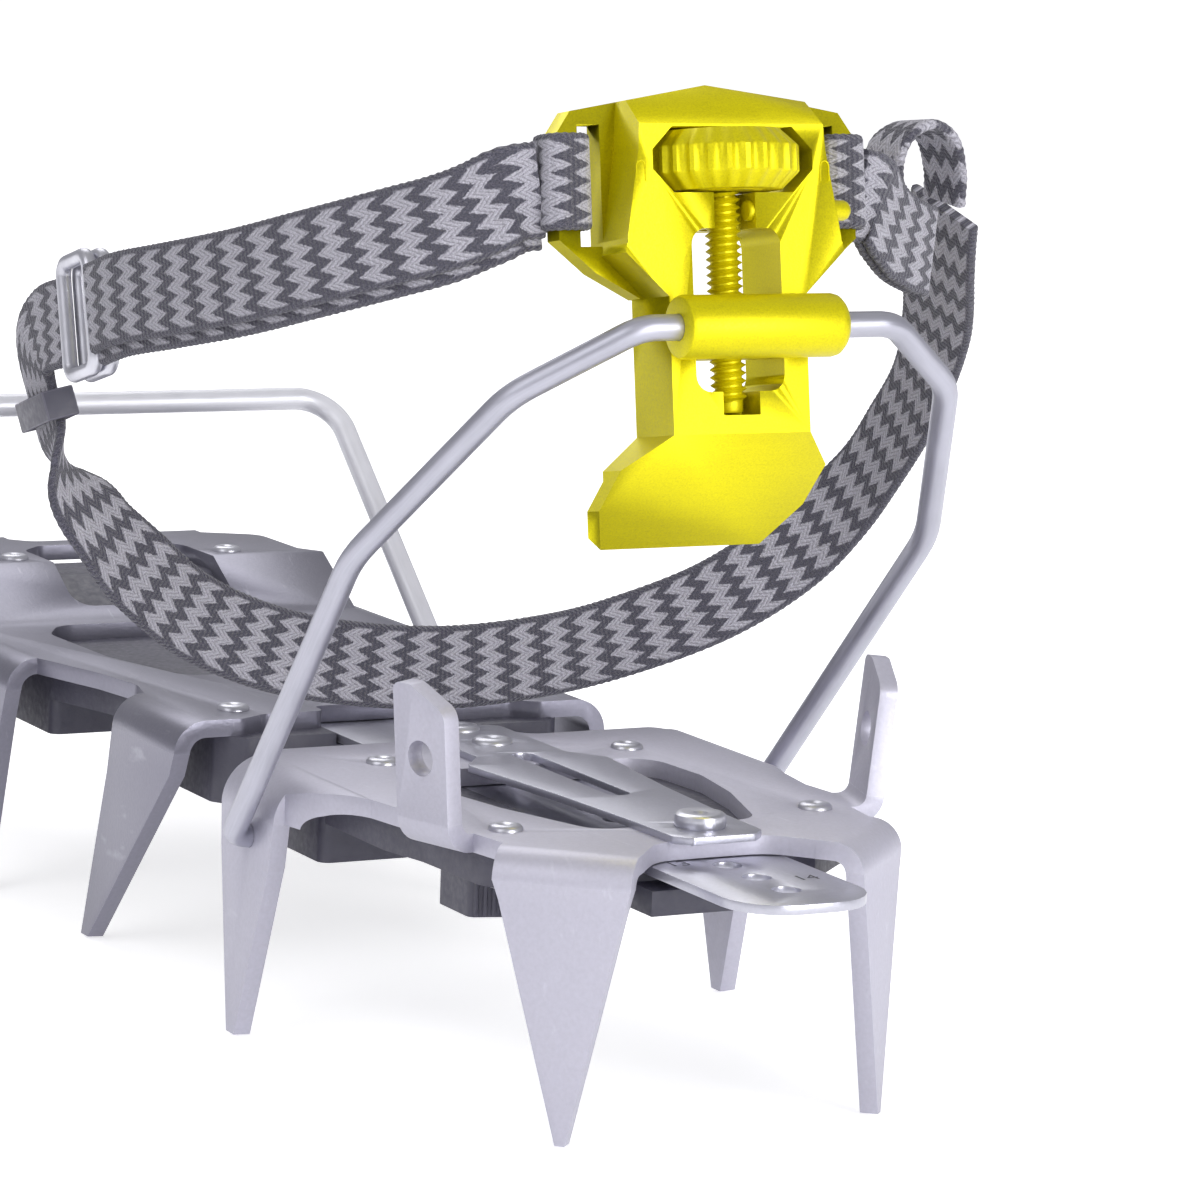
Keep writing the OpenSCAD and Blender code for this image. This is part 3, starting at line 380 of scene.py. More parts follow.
class Graph:
    """A short way to write a material's nodes."""

    COLOUR_A = 6
    COLOUR_B = 7
    COLOUR_OUT = 2

    def __init__(self, name: str) -> None:
        """Makes a material with a bare principled shader.

        Args:
            name: The material's name.
        """
        self.material = bpy.data.materials.new(name)
        self.material.use_nodes = True
        self.tree = self.material.node_tree
        self.tree.nodes.clear()
        self.shader = self.tree.nodes.new("ShaderNodeBsdfPrincipled")
        self.output = self.tree.nodes.new("ShaderNodeOutputMaterial")
        self.tree.links.new(self.shader.outputs[0], self.output.inputs[0])

    def put(self, target: bpy.types.NodeSocket, value: object) -> None:
        """Links a socket, or sets its value.

        Args:
            target: The input socket.
            value: An output socket to link, a colour of three parts, or a plain value.
        """
        if isinstance(value, bpy.types.NodeSocket):
            self.tree.links.new(value, target)
        elif isinstance(value, tuple) and len(value) == 3 and target.type == "RGBA":
            target.default_value = (*value, 1.0)
        else:
            target.default_value = value

    def node(self, kind: str, out: Union[int, str] = 0, settings: Optional[dict] = None,
             **inputs: object) -> bpy.types.NodeSocket:
        """Adds a node.

        Args:
            kind: The node's type without its first words.
            out: The output that is wanted.
            settings: Values for the node's own settings.
            inputs: Values or links; a name may be iN for the Nth input.

        Returns:
            The wanted output socket.
        """
        made = self.tree.nodes.new("ShaderNode" + kind)
        for key, value in (settings or {}).items():
            setattr(made, key, value)
        for key, value in inputs.items():
            numbered = key[0] == "i" and key[1:].isdigit()
            self.put(made.inputs[int(key[1:])] if numbered else made.inputs[key.replace("_", " ")], value)
        return made.outputs[out]

    def math(self, operation: str, a: Socket, b: Socket = 0.0) -> bpy.types.NodeSocket:
        """Adds a Math node."""
        return self.node("Math", settings={"operation": operation}, i0=a, i1=b)

    def times(self, a: Socket, b: Socket) -> bpy.types.NodeSocket:
        """Multiplies two values."""
        return self.math("MULTIPLY", a, b)

    def plus(self, a: Socket, b: Socket) -> bpy.types.NodeSocket:
        """Adds two values."""
        return self.math("ADD", a, b)

    def place(self) -> bpy.types.NodeSocket:
        """Gives the place on the piece, in metres."""
        return self.node("TexCoord", out="Object")

    def weave(self) -> bpy.types.NodeSocket:
        """Gives the piece's own map: millimetres along it and across it."""
        return self.node("UVMap", settings={"uv_map": WEAVE_MAP})

    def stretched(self, scale: tuple[float, float, float],
                  place: Optional[bpy.types.NodeSocket] = None) -> bpy.types.NodeSocket:
        """Gives the place with each axis scaled."""
        return self.node("Mapping", Vector=place or self.place(), Scale=scale)

    def noise(self, waves: float, detail: float, place: Optional[bpy.types.NodeSocket] = None,
              rough: float = 0.55) -> bpy.types.NodeSocket:
        """Adds a noise of that many waves in a unit of the place, which is a metre by itself."""
        at = place or self.place()
        return self.node("TexNoise", Vector=at, Scale=waves, Detail=detail, Roughness=rough)

    def ramp(self, value: bpy.types.NodeSocket, low: float, high: float, to_low: float = 0.0,
             to_high: float = 1.0) -> bpy.types.NodeSocket:
        """Maps a value's range to another, held at its ends."""
        return self.node("MapRange", i0=value, i1=low, i2=high, i3=to_low, i4=to_high)

    def blend(self, factor: Socket, a: object, b: object) -> bpy.types.NodeSocket:
        """Mixes two colours.

        Args:
            factor: How much of the second colour shows.
            a: The first colour, plain or linked.
            b: The second colour, plain or linked.

        Returns:
            The mixed colour.
        """
        made = self.tree.nodes.new("ShaderNodeMix")
        made.data_type = "RGBA"
        self.put(made.inputs[0], factor)
        self.put(made.inputs[self.COLOUR_A], a)
        self.put(made.inputs[self.COLOUR_B], b)
        return made.outputs[self.COLOUR_OUT]

    def bump(self, height: bpy.types.NodeSocket, strength: float, distance: float,
             after: Optional[bpy.types.NodeSocket] = None) -> bpy.types.NodeSocket:
        """Adds a bump.

        Args:
            height: The height that it shows.
            strength: How much of it shows, from 0 to 1.
            distance: The depth of a full height, in metres.
            after: Another bump that this one lies on.

        Returns:
            The bumped normal.
        """
        made = self.tree.nodes.new("ShaderNodeBump")
        made.inputs["Strength"].default_value = strength
        made.inputs["Distance"].default_value = distance
        self.put(made.inputs["Height"], height)
        if after:
            self.put(made.inputs["Normal"], after)
        return made.outputs[0]

    def rounded_faces(self) -> bpy.types.NodeSocket:
        """Gives 1 on rounded edges and 0 elsewhere."""
        return self.node("Attribute", out="Fac", settings={"attribute_name": ROUNDED_FACES})

    def dress(self, **inputs: object) -> bpy.types.Material:
        """Sets the shader's sockets.

        Args:
            inputs: Values or links by the socket's name.

        Returns:
            The material.
        """
        for key, value in inputs.items():
            self.put(self.shader.inputs[key.replace("_", " ")], value)
        return self.material


def scaled(colour: Colour, factor: float) -> Colour:
    """Gives a colour made paler or darker."""
    return tuple(min(1.0, factor * part) for part in colour)


@dataclass(frozen=True)
class BlastedSteel:
    """Sheet steel, bead-blasted to a pale violet grey, with brighter edges that are partly rubbed wear and
    partly a painted highlight.
    """

    name: str = "blasted_sheet_steel"
    base: Colour = (0.52, 0.51, 0.6)
    edge: Colour = (0.74, 0.74, 0.82)
    grain: float = 1500.0
    scuffs: float = 22.0
    scratches: tuple[float, float, float] = (900.0, 90.0, 260.0)
    rough: float = 0.42
    metal: float = 0.4

    def build(self) -> bpy.types.Material:
        """Builds the material."""
        graph = Graph(self.name)
        grain = graph.noise(self.grain, 2.0)
        cloud = graph.noise(self.scuffs, 4.0)
        marks = graph.ramp(graph.noise(1.0, 3.0, graph.stretched(self.scratches)), 0.64, 0.74)
        rounded_mask = graph.rounded_faces()
        paler = graph.ramp(cloud, 0.35, 0.68, 0.0, 0.22)
        darker = graph.times(graph.ramp(grain, 0.3, 0.7), 0.16)
        # Rounded edges turned paler: partly rubbed wear, partly a painted highlight.
        rubbed_and_highlit = graph.times(rounded_mask, graph.ramp(cloud, 0.3, 0.6, 0.35, 0.9))
        shade = graph.blend(paler, self.base, scaled(self.base, 1.25))
        shade = graph.blend(graph.times(marks, 0.22), shade, self.edge)
        shade = graph.blend(darker, shade, scaled(self.base, 0.6))
        shade = graph.blend(rubbed_and_highlit, shade, self.edge)
        dull = graph.ramp(cloud, 0.3, 0.7, self.rough, self.rough + 0.1)
        rough = graph.math("SUBTRACT", dull, graph.times(rounded_mask, 0.12))
        bump = graph.bump(grain, 0.16, 0.0002)
        bump = graph.bump(marks, 0.08, 0.0001, bump)
        return graph.dress(Base_Color=shade, Metallic=self.metal, Roughness=rough, Normal=bump)


@dataclass(frozen=True)
class DrawnWire:
    """Stainless wire with fine lines along it from the drawing, slightly dulled."""

    name: str = "drawn_wire"
    base: Colour = (0.46, 0.46, 0.53)
    drawing: tuple[float, float, float] = (0.12, 3.2, 1.0)
    grain: float = 2400.0
    rough: float = 0.33
    dull: float = 0.46
    metal: float = 0.8

    def build(self) -> bpy.types.Material:
        """Builds the material."""
        graph = Graph(self.name)
        lines = graph.noise(1.0, 3.0, graph.stretched(self.drawing, graph.weave()), 0.5)
        cloud = graph.noise(60.0, 3.0)
        grain = graph.noise(self.grain, 2.0)
        shade = graph.blend(graph.ramp(lines, 0.35, 0.7, 0.0, 0.35), self.base, scaled(self.base, 0.7))
        shade = graph.blend(graph.ramp(cloud, 0.4, 0.7, 0.0, 0.3), shade, scaled(self.base, 1.3))
        rough = graph.ramp(cloud, 0.3, 0.7, self.rough, self.dull)
        bump = graph.bump(lines, 0.1, 0.0002)
        bump = graph.bump(grain, 0.06, 0.0001, bump)
        return graph.dress(Base_Color=shade, Metallic=self.metal, Roughness=rough, Normal=bump)


@dataclass(frozen=True)
class TurnedSteel:
    """Bright turned steel of rivets, stud, bolts and buckle."""

    name: str = "turned_steel"
    base: Colour = (0.6, 0.6, 0.66)
    rough: float = 0.28
    dull: float = 0.44
    metal: float = 0.9

    def build(self) -> bpy.types.Material:
        """Builds the material."""
        graph = Graph(self.name)
        cloud = graph.noise(160.0, 4.0)
        grain = graph.noise(2600.0, 2.0)
        shade = graph.blend(graph.ramp(cloud, 0.35, 0.65, 0.0, 0.45), self.base, scaled(self.base, 0.62))
        rough = graph.ramp(cloud, 0.3, 0.7, self.rough, self.dull)
        bump = graph.bump(grain, 0.1, 0.0001)
        return graph.dress(Base_Color=shade, Metallic=self.metal, Roughness=rough, Normal=bump)


@dataclass(frozen=True)
class YellowAnodised:
    """Anodised aluminium, satin yellow, with a fine blasted sparkle and faint machining lines."""

    name: str = "yellow_anodised"
    base: Colour = (0.7, 0.62, 0.0)
    deep: Colour = (0.42, 0.35, 0.0)
    pale: Colour = (0.9, 0.82, 0.0)
    machining: tuple[float, float, float] = (60.0, 60.0, 1800.0)
    rough: float = 0.36
    dull: float = 0.5
    metal: float = 0.62

    def build(self) -> bpy.types.Material:
        """Builds the material."""
        graph = Graph(self.name)
        lines = graph.noise(1.0, 3.0, graph.stretched(self.machining))
        grain = graph.noise(3400.0, 2.0)
        cloud = graph.noise(45.0, 3.0)
        shade = graph.blend(graph.ramp(cloud, 0.35, 0.7, 0.0, 0.2), self.base, self.pale)
        shade = graph.blend(graph.ramp(lines, 0.45, 0.75, 0.0, 0.08), shade, self.deep)
        shade = graph.blend(graph.ramp(grain, 0.28, 0.5, 0.3, 0.0), shade, self.deep)
        shade = graph.blend(graph.ramp(grain, 0.52, 0.74, 0.0, 0.34), shade, self.pale)
        shade = graph.blend(graph.times(graph.rounded_faces(), 0.55), shade, self.pale)
        rough = graph.ramp(grain, 0.3, 0.7, self.rough, self.dull)
        bump = graph.bump(lines, 0.02, 0.0001)
        bump = graph.bump(grain, 0.2, 0.0001, bump)
        return graph.dress(Base_Color=shade, Metallic=self.metal, Roughness=rough, Normal=bump)


@dataclass(frozen=True)
class MouldedPlastic:
    """Dark elastomer of the snow plates, with a fine moulded grain."""

    name: str = "moulded_elastomer"
    base: Colour = (0.07, 0.068, 0.095)
    pale: Colour = (0.17, 0.165, 0.21)
    rough: float = 0.42
    dull: float = 0.62

    def build(self) -> bpy.types.Material:
        """Builds the material."""
        graph = Graph(self.name)
        grain = graph.noise(900.0, 3.0)
        cloud = graph.noise(38.0, 4.0)
        shade = graph.blend(graph.ramp(cloud, 0.4, 0.75, 0.0, 0.5), self.base, self.pale)
        shade = graph.blend(graph.times(graph.rounded_faces(), 0.5), shade, self.pale)
        rough = graph.ramp(grain, 0.3, 0.7, self.rough, self.dull)
        return graph.dress(Base_Color=shade, Roughness=rough, Normal=graph.bump(grain, 0.25, 0.0003))


@dataclass(frozen=True)
class ZigzagWebbing:
    """Woven webbing: pale zigzag bands across the width on a dark grey ground, plain along both edges."""

    name: str = "zigzag_webbing"
    dark: Colour = (0.05, 0.048, 0.072)
    ground: Colour = (0.14, 0.135, 0.18)
    pale: Colour = (0.72, 0.7, 0.79)
    repeat: float = 6.4
    tooth: float = 2.5
    swing: float = 2.6
    plain_from: float = 6.2
    thread: float = 0.62
    rib: float = 0.42
    wander: float = 2.4

    def build(self) -> bpy.types.Material:
        """Builds the material from the piece's own map, whose unit is a millimetre."""
        graph = Graph(self.name)
        weave = graph.weave()
        split = graph.tree.nodes.new("ShaderNodeSeparateXYZ")
        graph.put(split.inputs[0], weave)
        along, across = split.outputs[0], split.outputs[1]
        fuzz = graph.noise(1.9, 4.0, weave, 0.7)
        speck = graph.noise(4.2, 3.0, weave, 0.8)
        wander = graph.times(graph.math("SUBTRACT", fuzz, 0.5), self.wander)
        rise = graph.times(graph.math("PINGPONG", across, self.tooth / 2), 2 * self.swing / self.tooth)
        phase = graph.math("DIVIDE", graph.plus(graph.plus(along, rise), wander), self.repeat)
        zigzag = graph.ramp(graph.math("PINGPONG", phase, 0.5), 0.2, 0.26)
        side = graph.math("SIGN", graph.math("SINE", graph.times(across, math.tau / self.tooth)))
        slope = graph.plus(graph.times(across, 0.9), graph.times(graph.times(along, 0.55), side))
        stitch = graph.math("PINGPONG", graph.plus(slope, graph.times(wander, 0.25)), self.thread / 2)
        stitch = graph.ramp(stitch, 0.0, self.thread / 2)
        rib = graph.ramp(graph.math("PINGPONG", along, self.rib), 0.0, self.rib)
        edge = graph.ramp(graph.math("ABSOLUTE", across), self.plain_from, self.plain_from + 0.35)
        dark = graph.blend(graph.ramp(speck, 0.42, 0.66), self.dark, self.ground)
        light = graph.blend(graph.ramp(speck, 0.3, 0.62, 0.75, 0.0), self.pale, self.ground)
        light = graph.blend(graph.ramp(stitch, 0.0, 0.5, 0.5, 0.0), light, self.dark)
        plain = graph.blend(graph.ramp(speck, 0.45, 0.7), self.dark, scaled(self.ground, 1.5))
        cloth = graph.blend(edge, graph.blend(zigzag, dark, light), plain)
        raised = graph.times(zigzag, graph.math("SUBTRACT", 1.0, edge))
        bump = graph.bump(stitch, 0.55, 0.0006)
        bump = graph.bump(rib, 0.35, 0.0005, bump)
        bump = graph.bump(raised, 0.3, 0.0006, bump)
        bump = graph.bump(speck, 0.5, 0.0005, bump)
        return graph.dress(Base_Color=cloth, Roughness=0.85, Sheen_Weight=0.35, Sheen_Roughness=0.5,
                           Normal=bump)


@dataclass(frozen=True)
class InkedMark:
    """Dark etched figures on the bar."""

    name: str = "etched_figure"
    base: Colour = (0.05, 0.05, 0.07)
    faded: Colour = (0.2, 0.2, 0.24)

    def build(self) -> bpy.types.Material:
        """Builds the material."""
        graph = Graph(self.name)
        fade = graph.ramp(graph.noise(1200.0, 2.0), 0.4, 0.7, 0.0, 0.5)
        return graph.dress(Base_Color=graph.blend(fade, self.base, self.faded), Roughness=0.6)


class Finishes:
    """Every finish, built once."""

    def __init__(self) -> None:
        """Builds the materials."""
        self.steel = BlastedSteel().build()
        self.spring = BlastedSteel("polished_spring_steel", (0.5, 0.5, 0.57), rough=0.26, metal=0.8).build()
        # The heel's blasted steel again, its base darkened as a painted dark reflection and its pale edge
        # colour a painted highlight.
        self.front_steel_painted_dark = BlastedSteel("front_steel_painted_dark_reflection", (0.24, 0.235, 0.29), (0.6, 0.6, 0.68), rough=0.3,
                                        metal=0.75).build()
        self.wire = DrawnWire().build()
        # The drawn wire again, made paler and less metallic for the toe bail: painted light.
        self.toe_wire_painted_light = DrawnWire("toe_wire_painted_light", (0.74, 0.74, 0.8), metal=0.3).build()
        self.turned = TurnedSteel().build()
        self.yellow = YellowAnodised().build()
        self.plastic = MouldedPlastic().build()
        self.webbing = ZigzagWebbing().build()
        self.ink = InkedMark().build()


# The parts of the crampon


@dataclass
class Workshop:
    """What every sub-assembly needs: the CAD nodes and the finishes."""

    nodes: dict[str, bpy.types.Object]
    finishes: Finishes

    def softened(self, node: str, material: bpy.types.Material, body: Body, slot: str, width: float,
                 segments: int = 2, angle: float = SHARP_ANGLE) -> bpy.types.Object:
        """Stands for a CAD node with the same shape and rounded edges.

        Args:
            node: The CAD node.
            material: The piece's finish.
            body: Its body.
            slot: Not used; it is passed on to finish, which does not use it.
            width: Rounding of the edges, in millimetres.
            segments: Faces across the rounding.
            angle: Edges that turn more than this are rounded, in degrees.

        Returns:
            The finished piece.
        """
        draft = copy_of(self.nodes[node])
        draft.soften(width * MM, segments, angle)
        return draft.finish(node + "_dressed", material, body, slot, (node,), placed=True, outwards=False)


def domed_rivet(draft: Draft, x: float, y: float, top: float, low: float, head: float) -> None:
    """Adds a rivet with a low dome above and a rolled tail below.

    Args:
        draft: The mesh that it goes into.
        x: Its X.
        y: Its Y.
        top: Height of the sheet under its head.
        low: Height of the underside that its tail grips.
        head: Diameter of its head.
    """
    rim, core = head / 2, RIVET_SHANK / 2
    dome = [(0.0, top + 0.72), (0.7, top + 0.74), (1.1, top + 0.95), (rim * 0.62, top + 0.97),
            (rim * 0.86, top + 0.78), (rim * 0.98, top + 0.42), (rim, top), (core, top)]
    tail = [(core, low), (rim - 0.3, low), (rim - 0.1, low - 0.25), (rim - 0.6, low - 0.7), (1.0, low - 0.8),
            (0.0, low - 0.45)]
    verts = draft.lathe(dome + tail, 36)
    draft.move(Matrix.Translation((x, y, 0.0)), verts)


@dataclass
class HeelUnit:
    """Heel platform with its four points, its posts, snow plate, rivets and locking spring."""

    shop: Workshop
    ride: float = 45.0
    snow_low: float = 36.6
    block_low: float = 30.0
    rear_rivet: tuple[float, float] = (27.9, 22.5)
    front_rivet: tuple[float, float] = (23.0, 77.5)
    leaf_rivets: tuple[float, float] = (82.9, 95.3)
    leaf: float = 1.2
    leaf_head: float = 7.0
    leaf_tail: float = 42.81
    leaf_cut: int = 4
    leaf_end: int = 100
    bend_from: tuple[float, float, float] = (0.0, 78.0, 45.6)
    bend_to: tuple[float, float, float] = (0.0, 24.0, 45.6)
    stud_y: float = 10.5

    def build(self) -> None:
        """Builds every piece of the heel unit."""
        finishes = self.shop.finishes
        self.shop.softened("heel_frame", finishes.steel, Body.HEEL, "heel_frame", 0.45, 3)
        self.shop.softened("heel_snow_plate", finishes.plastic, Body.HEEL, "snow_plate", 0.5)
        self.ribs()
        self.rivets("heel_rivets_rear", self.rear_rivet, self.snow_low)
        self.rivets("heel_rivets_front", self.front_rivet, self.block_low)
        self.spring()
        self.stud()

    def rivets(self, node: str, at: tuple[float, float], low: float) -> None:
        """Builds one pair of frame rivets.

        Args:
            node: The CAD node that they stand for.
            at: X and Y of the right one.
            low: Height of the underside that their tails grip.
        """
        draft = Draft()
        for side in Side:
            domed_rivet(draft, side.value * at[0], at[1], self.ride, low, RIVET_HEAD)
        draft.finish(node + "_domed", self.shop.finishes.turned, Body.HEEL, "rivet", (node,))

    def spring(self) -> None:
        """Builds the leaf spring, which bends from its rivets to its stud, and its rivets."""
        finishes = self.shop.finishes
        leaf = copy_of(self.shop.nodes["leaf_spring"])
        leaf.soften(0.25 * MM, 2)
        for y in range(0, self.leaf_end, self.leaf_cut):
            whole = leaf.mesh.verts[:] + leaf.mesh.edges[:] + leaf.mesh.faces[:]
            bmesh.ops.bisect_plane(leaf.mesh, geom=whole, plane_co=(0.0, (y - MIDDLE_Y) * MM, 0.0),
                                   plane_no=(0.0, 1.0, 0.0), dist=1e-7)
        piece = leaf.finish("leaf_spring_bent", finishes.spring, None, "spring_steel", ("leaf_spring",),
                            placed=True, outwards=False)
        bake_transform(piece, Body.HEEL.value, Body.LOCK.value, start=PLACE @ Vector(self.bend_from),
                 end=PLACE @ Vector(self.bend_to))
        draft = Draft()
        for y in self.leaf_rivets:
            domed_rivet(draft, 0.0, y, self.ride + self.leaf, self.leaf_tail, self.leaf_head)
        draft.finish("leaf_rivets_domed", finishes.turned, Body.HEEL, "rivet", ("leaf_rivets",))

    def stud(self) -> None:
        """Builds the locking stud with a bevelled disc head."""
        top = self.ride + self.leaf
        draft = Draft()
        verts = draft.lathe([
            (0.0, top + 1.75), (0.9, top + 1.8), (1.2, top + 2.15), (2.9, top + 2.3), (3.6, top + 2.2),
            (4.0, top + 1.9), (4.1, top + 1.4), (4.1, top + 0.4), (3.9, top), (2.0, top), (2.0, 39.85),
            (1.5, 39.1), (0.0, 39.1),
        ], 48)
        draft.move(Matrix.Translation((0.0, self.stud_y, 0.0)), verts)
        draft.finish("locking_stud_turned", self.shop.finishes.turned, Body.LOCK, "rivet", ("locking_stud",))

    def ribs(self) -> None:
        """Builds the upright ribs on the snow plate's rear lugs: three along each lug and four across it."""
        along = [(19.95 + 0.1 * k, 36.0 - 4.2 * k) for k in range(3)]
        across = [(25.9 + 1.35 * k, 26.5 + 0.4 * k) for k in range(4)]
        draft = Draft()
        for side in Side:
            for x, y in along + across:
                verts = draft.lathe([(0.0, 41.7), (0.42, 41.5), (0.42, 30.5), (0.2, 30.1), (0.0, 30.1)], 12)
                draft.move(Matrix.Translation((side.value * x, y, 0.0)), verts)
        draft.finish("heel_snow_ribs", self.shop.finishes.plastic, Body.HEEL, "snow_plate")


@dataclass
class LinkBar:
    """Perforated spring-steel bar that joins the two units, with its bolts and nuts."""

    shop: Workshop
    bolts: tuple[float, float] = (144.0, 154.0)
    head_low: float = 45.0
    top: float = 41.8
    figure_size: float = 4.2
    figure_lift: float = 0.03
    figures: tuple[tuple[str, float, float], ...] = (("13", -7.0, 4.5), ("14", 7.2, -10.5))

    def build(self) -> None:
        """Builds the bar, its figures and its fasteners."""
        finishes = self.shop.finishes
        self.shop.softened("link_bar", finishes.spring, Body.FRONT, "spring_steel", 0.22)
        for text, x, y in self.figures:
            self.figure(text, x, y)
        bolts = Draft()
        low = self.head_low
        for y in self.bolts:
            verts = bolts.lathe([
                (0.0, low + 1.0), (1.5, low + 1.0), (1.7, low + 2.2), (2.2, low + 2.5), (3.5, low + 2.4),
                (4.1, low + 1.9), (4.25, low + 1.2), (4.25, low), (2.5, low), (2.5, 30.5), (2.0, 30.2),
                (0.0, 30.2),
            ], 40)
            bolts.move(Matrix.Translation((0.0, y, 0.0)), verts)
        bolts.finish("bar_bolts_turned", finishes.turned, Body.FRONT, "rivet", ("bar_bolts",))
        self.shop.softened("bar_nuts", finishes.turned, Body.FRONT, "rivet", 0.3)

    def figure(self, text: str, x: float, y: float) -> None:
        """Etches a plain size figure beside a hole of the bar.

        Args:
            text: The figure.
            x: X of its middle.
            y: Y of its middle.
        """
        curve = bpy.data.curves.new("size_figure", "FONT")
        curve.body = text
        curve.size = self.figure_size
        curve.align_x = "CENTER"
        curve.align_y = "CENTER"
        holder = bpy.data.objects.new("size_figure", curve)
        bpy.context.scene.collection.objects.link(holder)
        bpy.context.view_layer.update()
        flat = bpy.data.meshes.new_from_object(holder.evaluated_get(bpy.context.evaluated_depsgraph_get()))
        bpy.data.objects.remove(holder)
        draft = Draft()
        draft.take(flat)
        draft.move(Matrix.Translation((x, y, self.top + self.figure_lift)))
        draft.finish("size_figure_" + text, self.shop.finishes.ink, Body.FRONT, "spring_steel",
                     outwards=False)


@dataclass
class WireBail:
    """A bail of bent wire: two hinge pins, two shaped legs and a straight top bar."""

    shop: Workshop
    node: str
    body: Body
    hinge: tuple[float, float]
    lean: float
    diameter: float
    half: tuple[tuple[float, float], ...]
    radii: tuple[float, ...]
    finish: bpy.types.Material
    chamfer: float = 0.5

    def build(self) -> None:
        """Builds the bail as one smooth wire."""
        right = list(self.half)
        corners = right + [(-x, y) for x, y in reversed(right)]
        radii = list(self.radii) + list(reversed(self.radii))
        route = self.spaced(bent_line(corners, radii, 6.0))
        radius = self.diameter / 2
        last = len(route) - 1

        def ring(step: int, travel: float) -> list[tuple[float, float]]:
            """Gives the round section, smaller at the chamfered ends."""
            return round_section(radius - (self.chamfer if step in (0, last) else 0.0), 28)

        draft = Draft()
        draft.sweep(route, [UP] * len(route), ring)
        draft.move(Matrix.Translation((0.0, *self.hinge)) @ Matrix.Rotation(math.radians(self.lean), 4, "X"))
        draft.finish(self.node + "_wire", self.finish, self.body, "wire", (self.node,))

    def spaced(self, route: list[Vector]) -> list[Vector]:
        """Adds a point just inside each end, for the chamfers.

        Args:
            route: The wire's middle line.

        Returns:
            The line with its two new points.
        """
        first = route[0] + (route[1] - route[0]).normalized() * self.chamfer
        last = route[-1] + (route[-2] - route[-1]).normalized() * self.chamfer
        return [route[0], first] + route[1:-1] + [last, route[-1]]


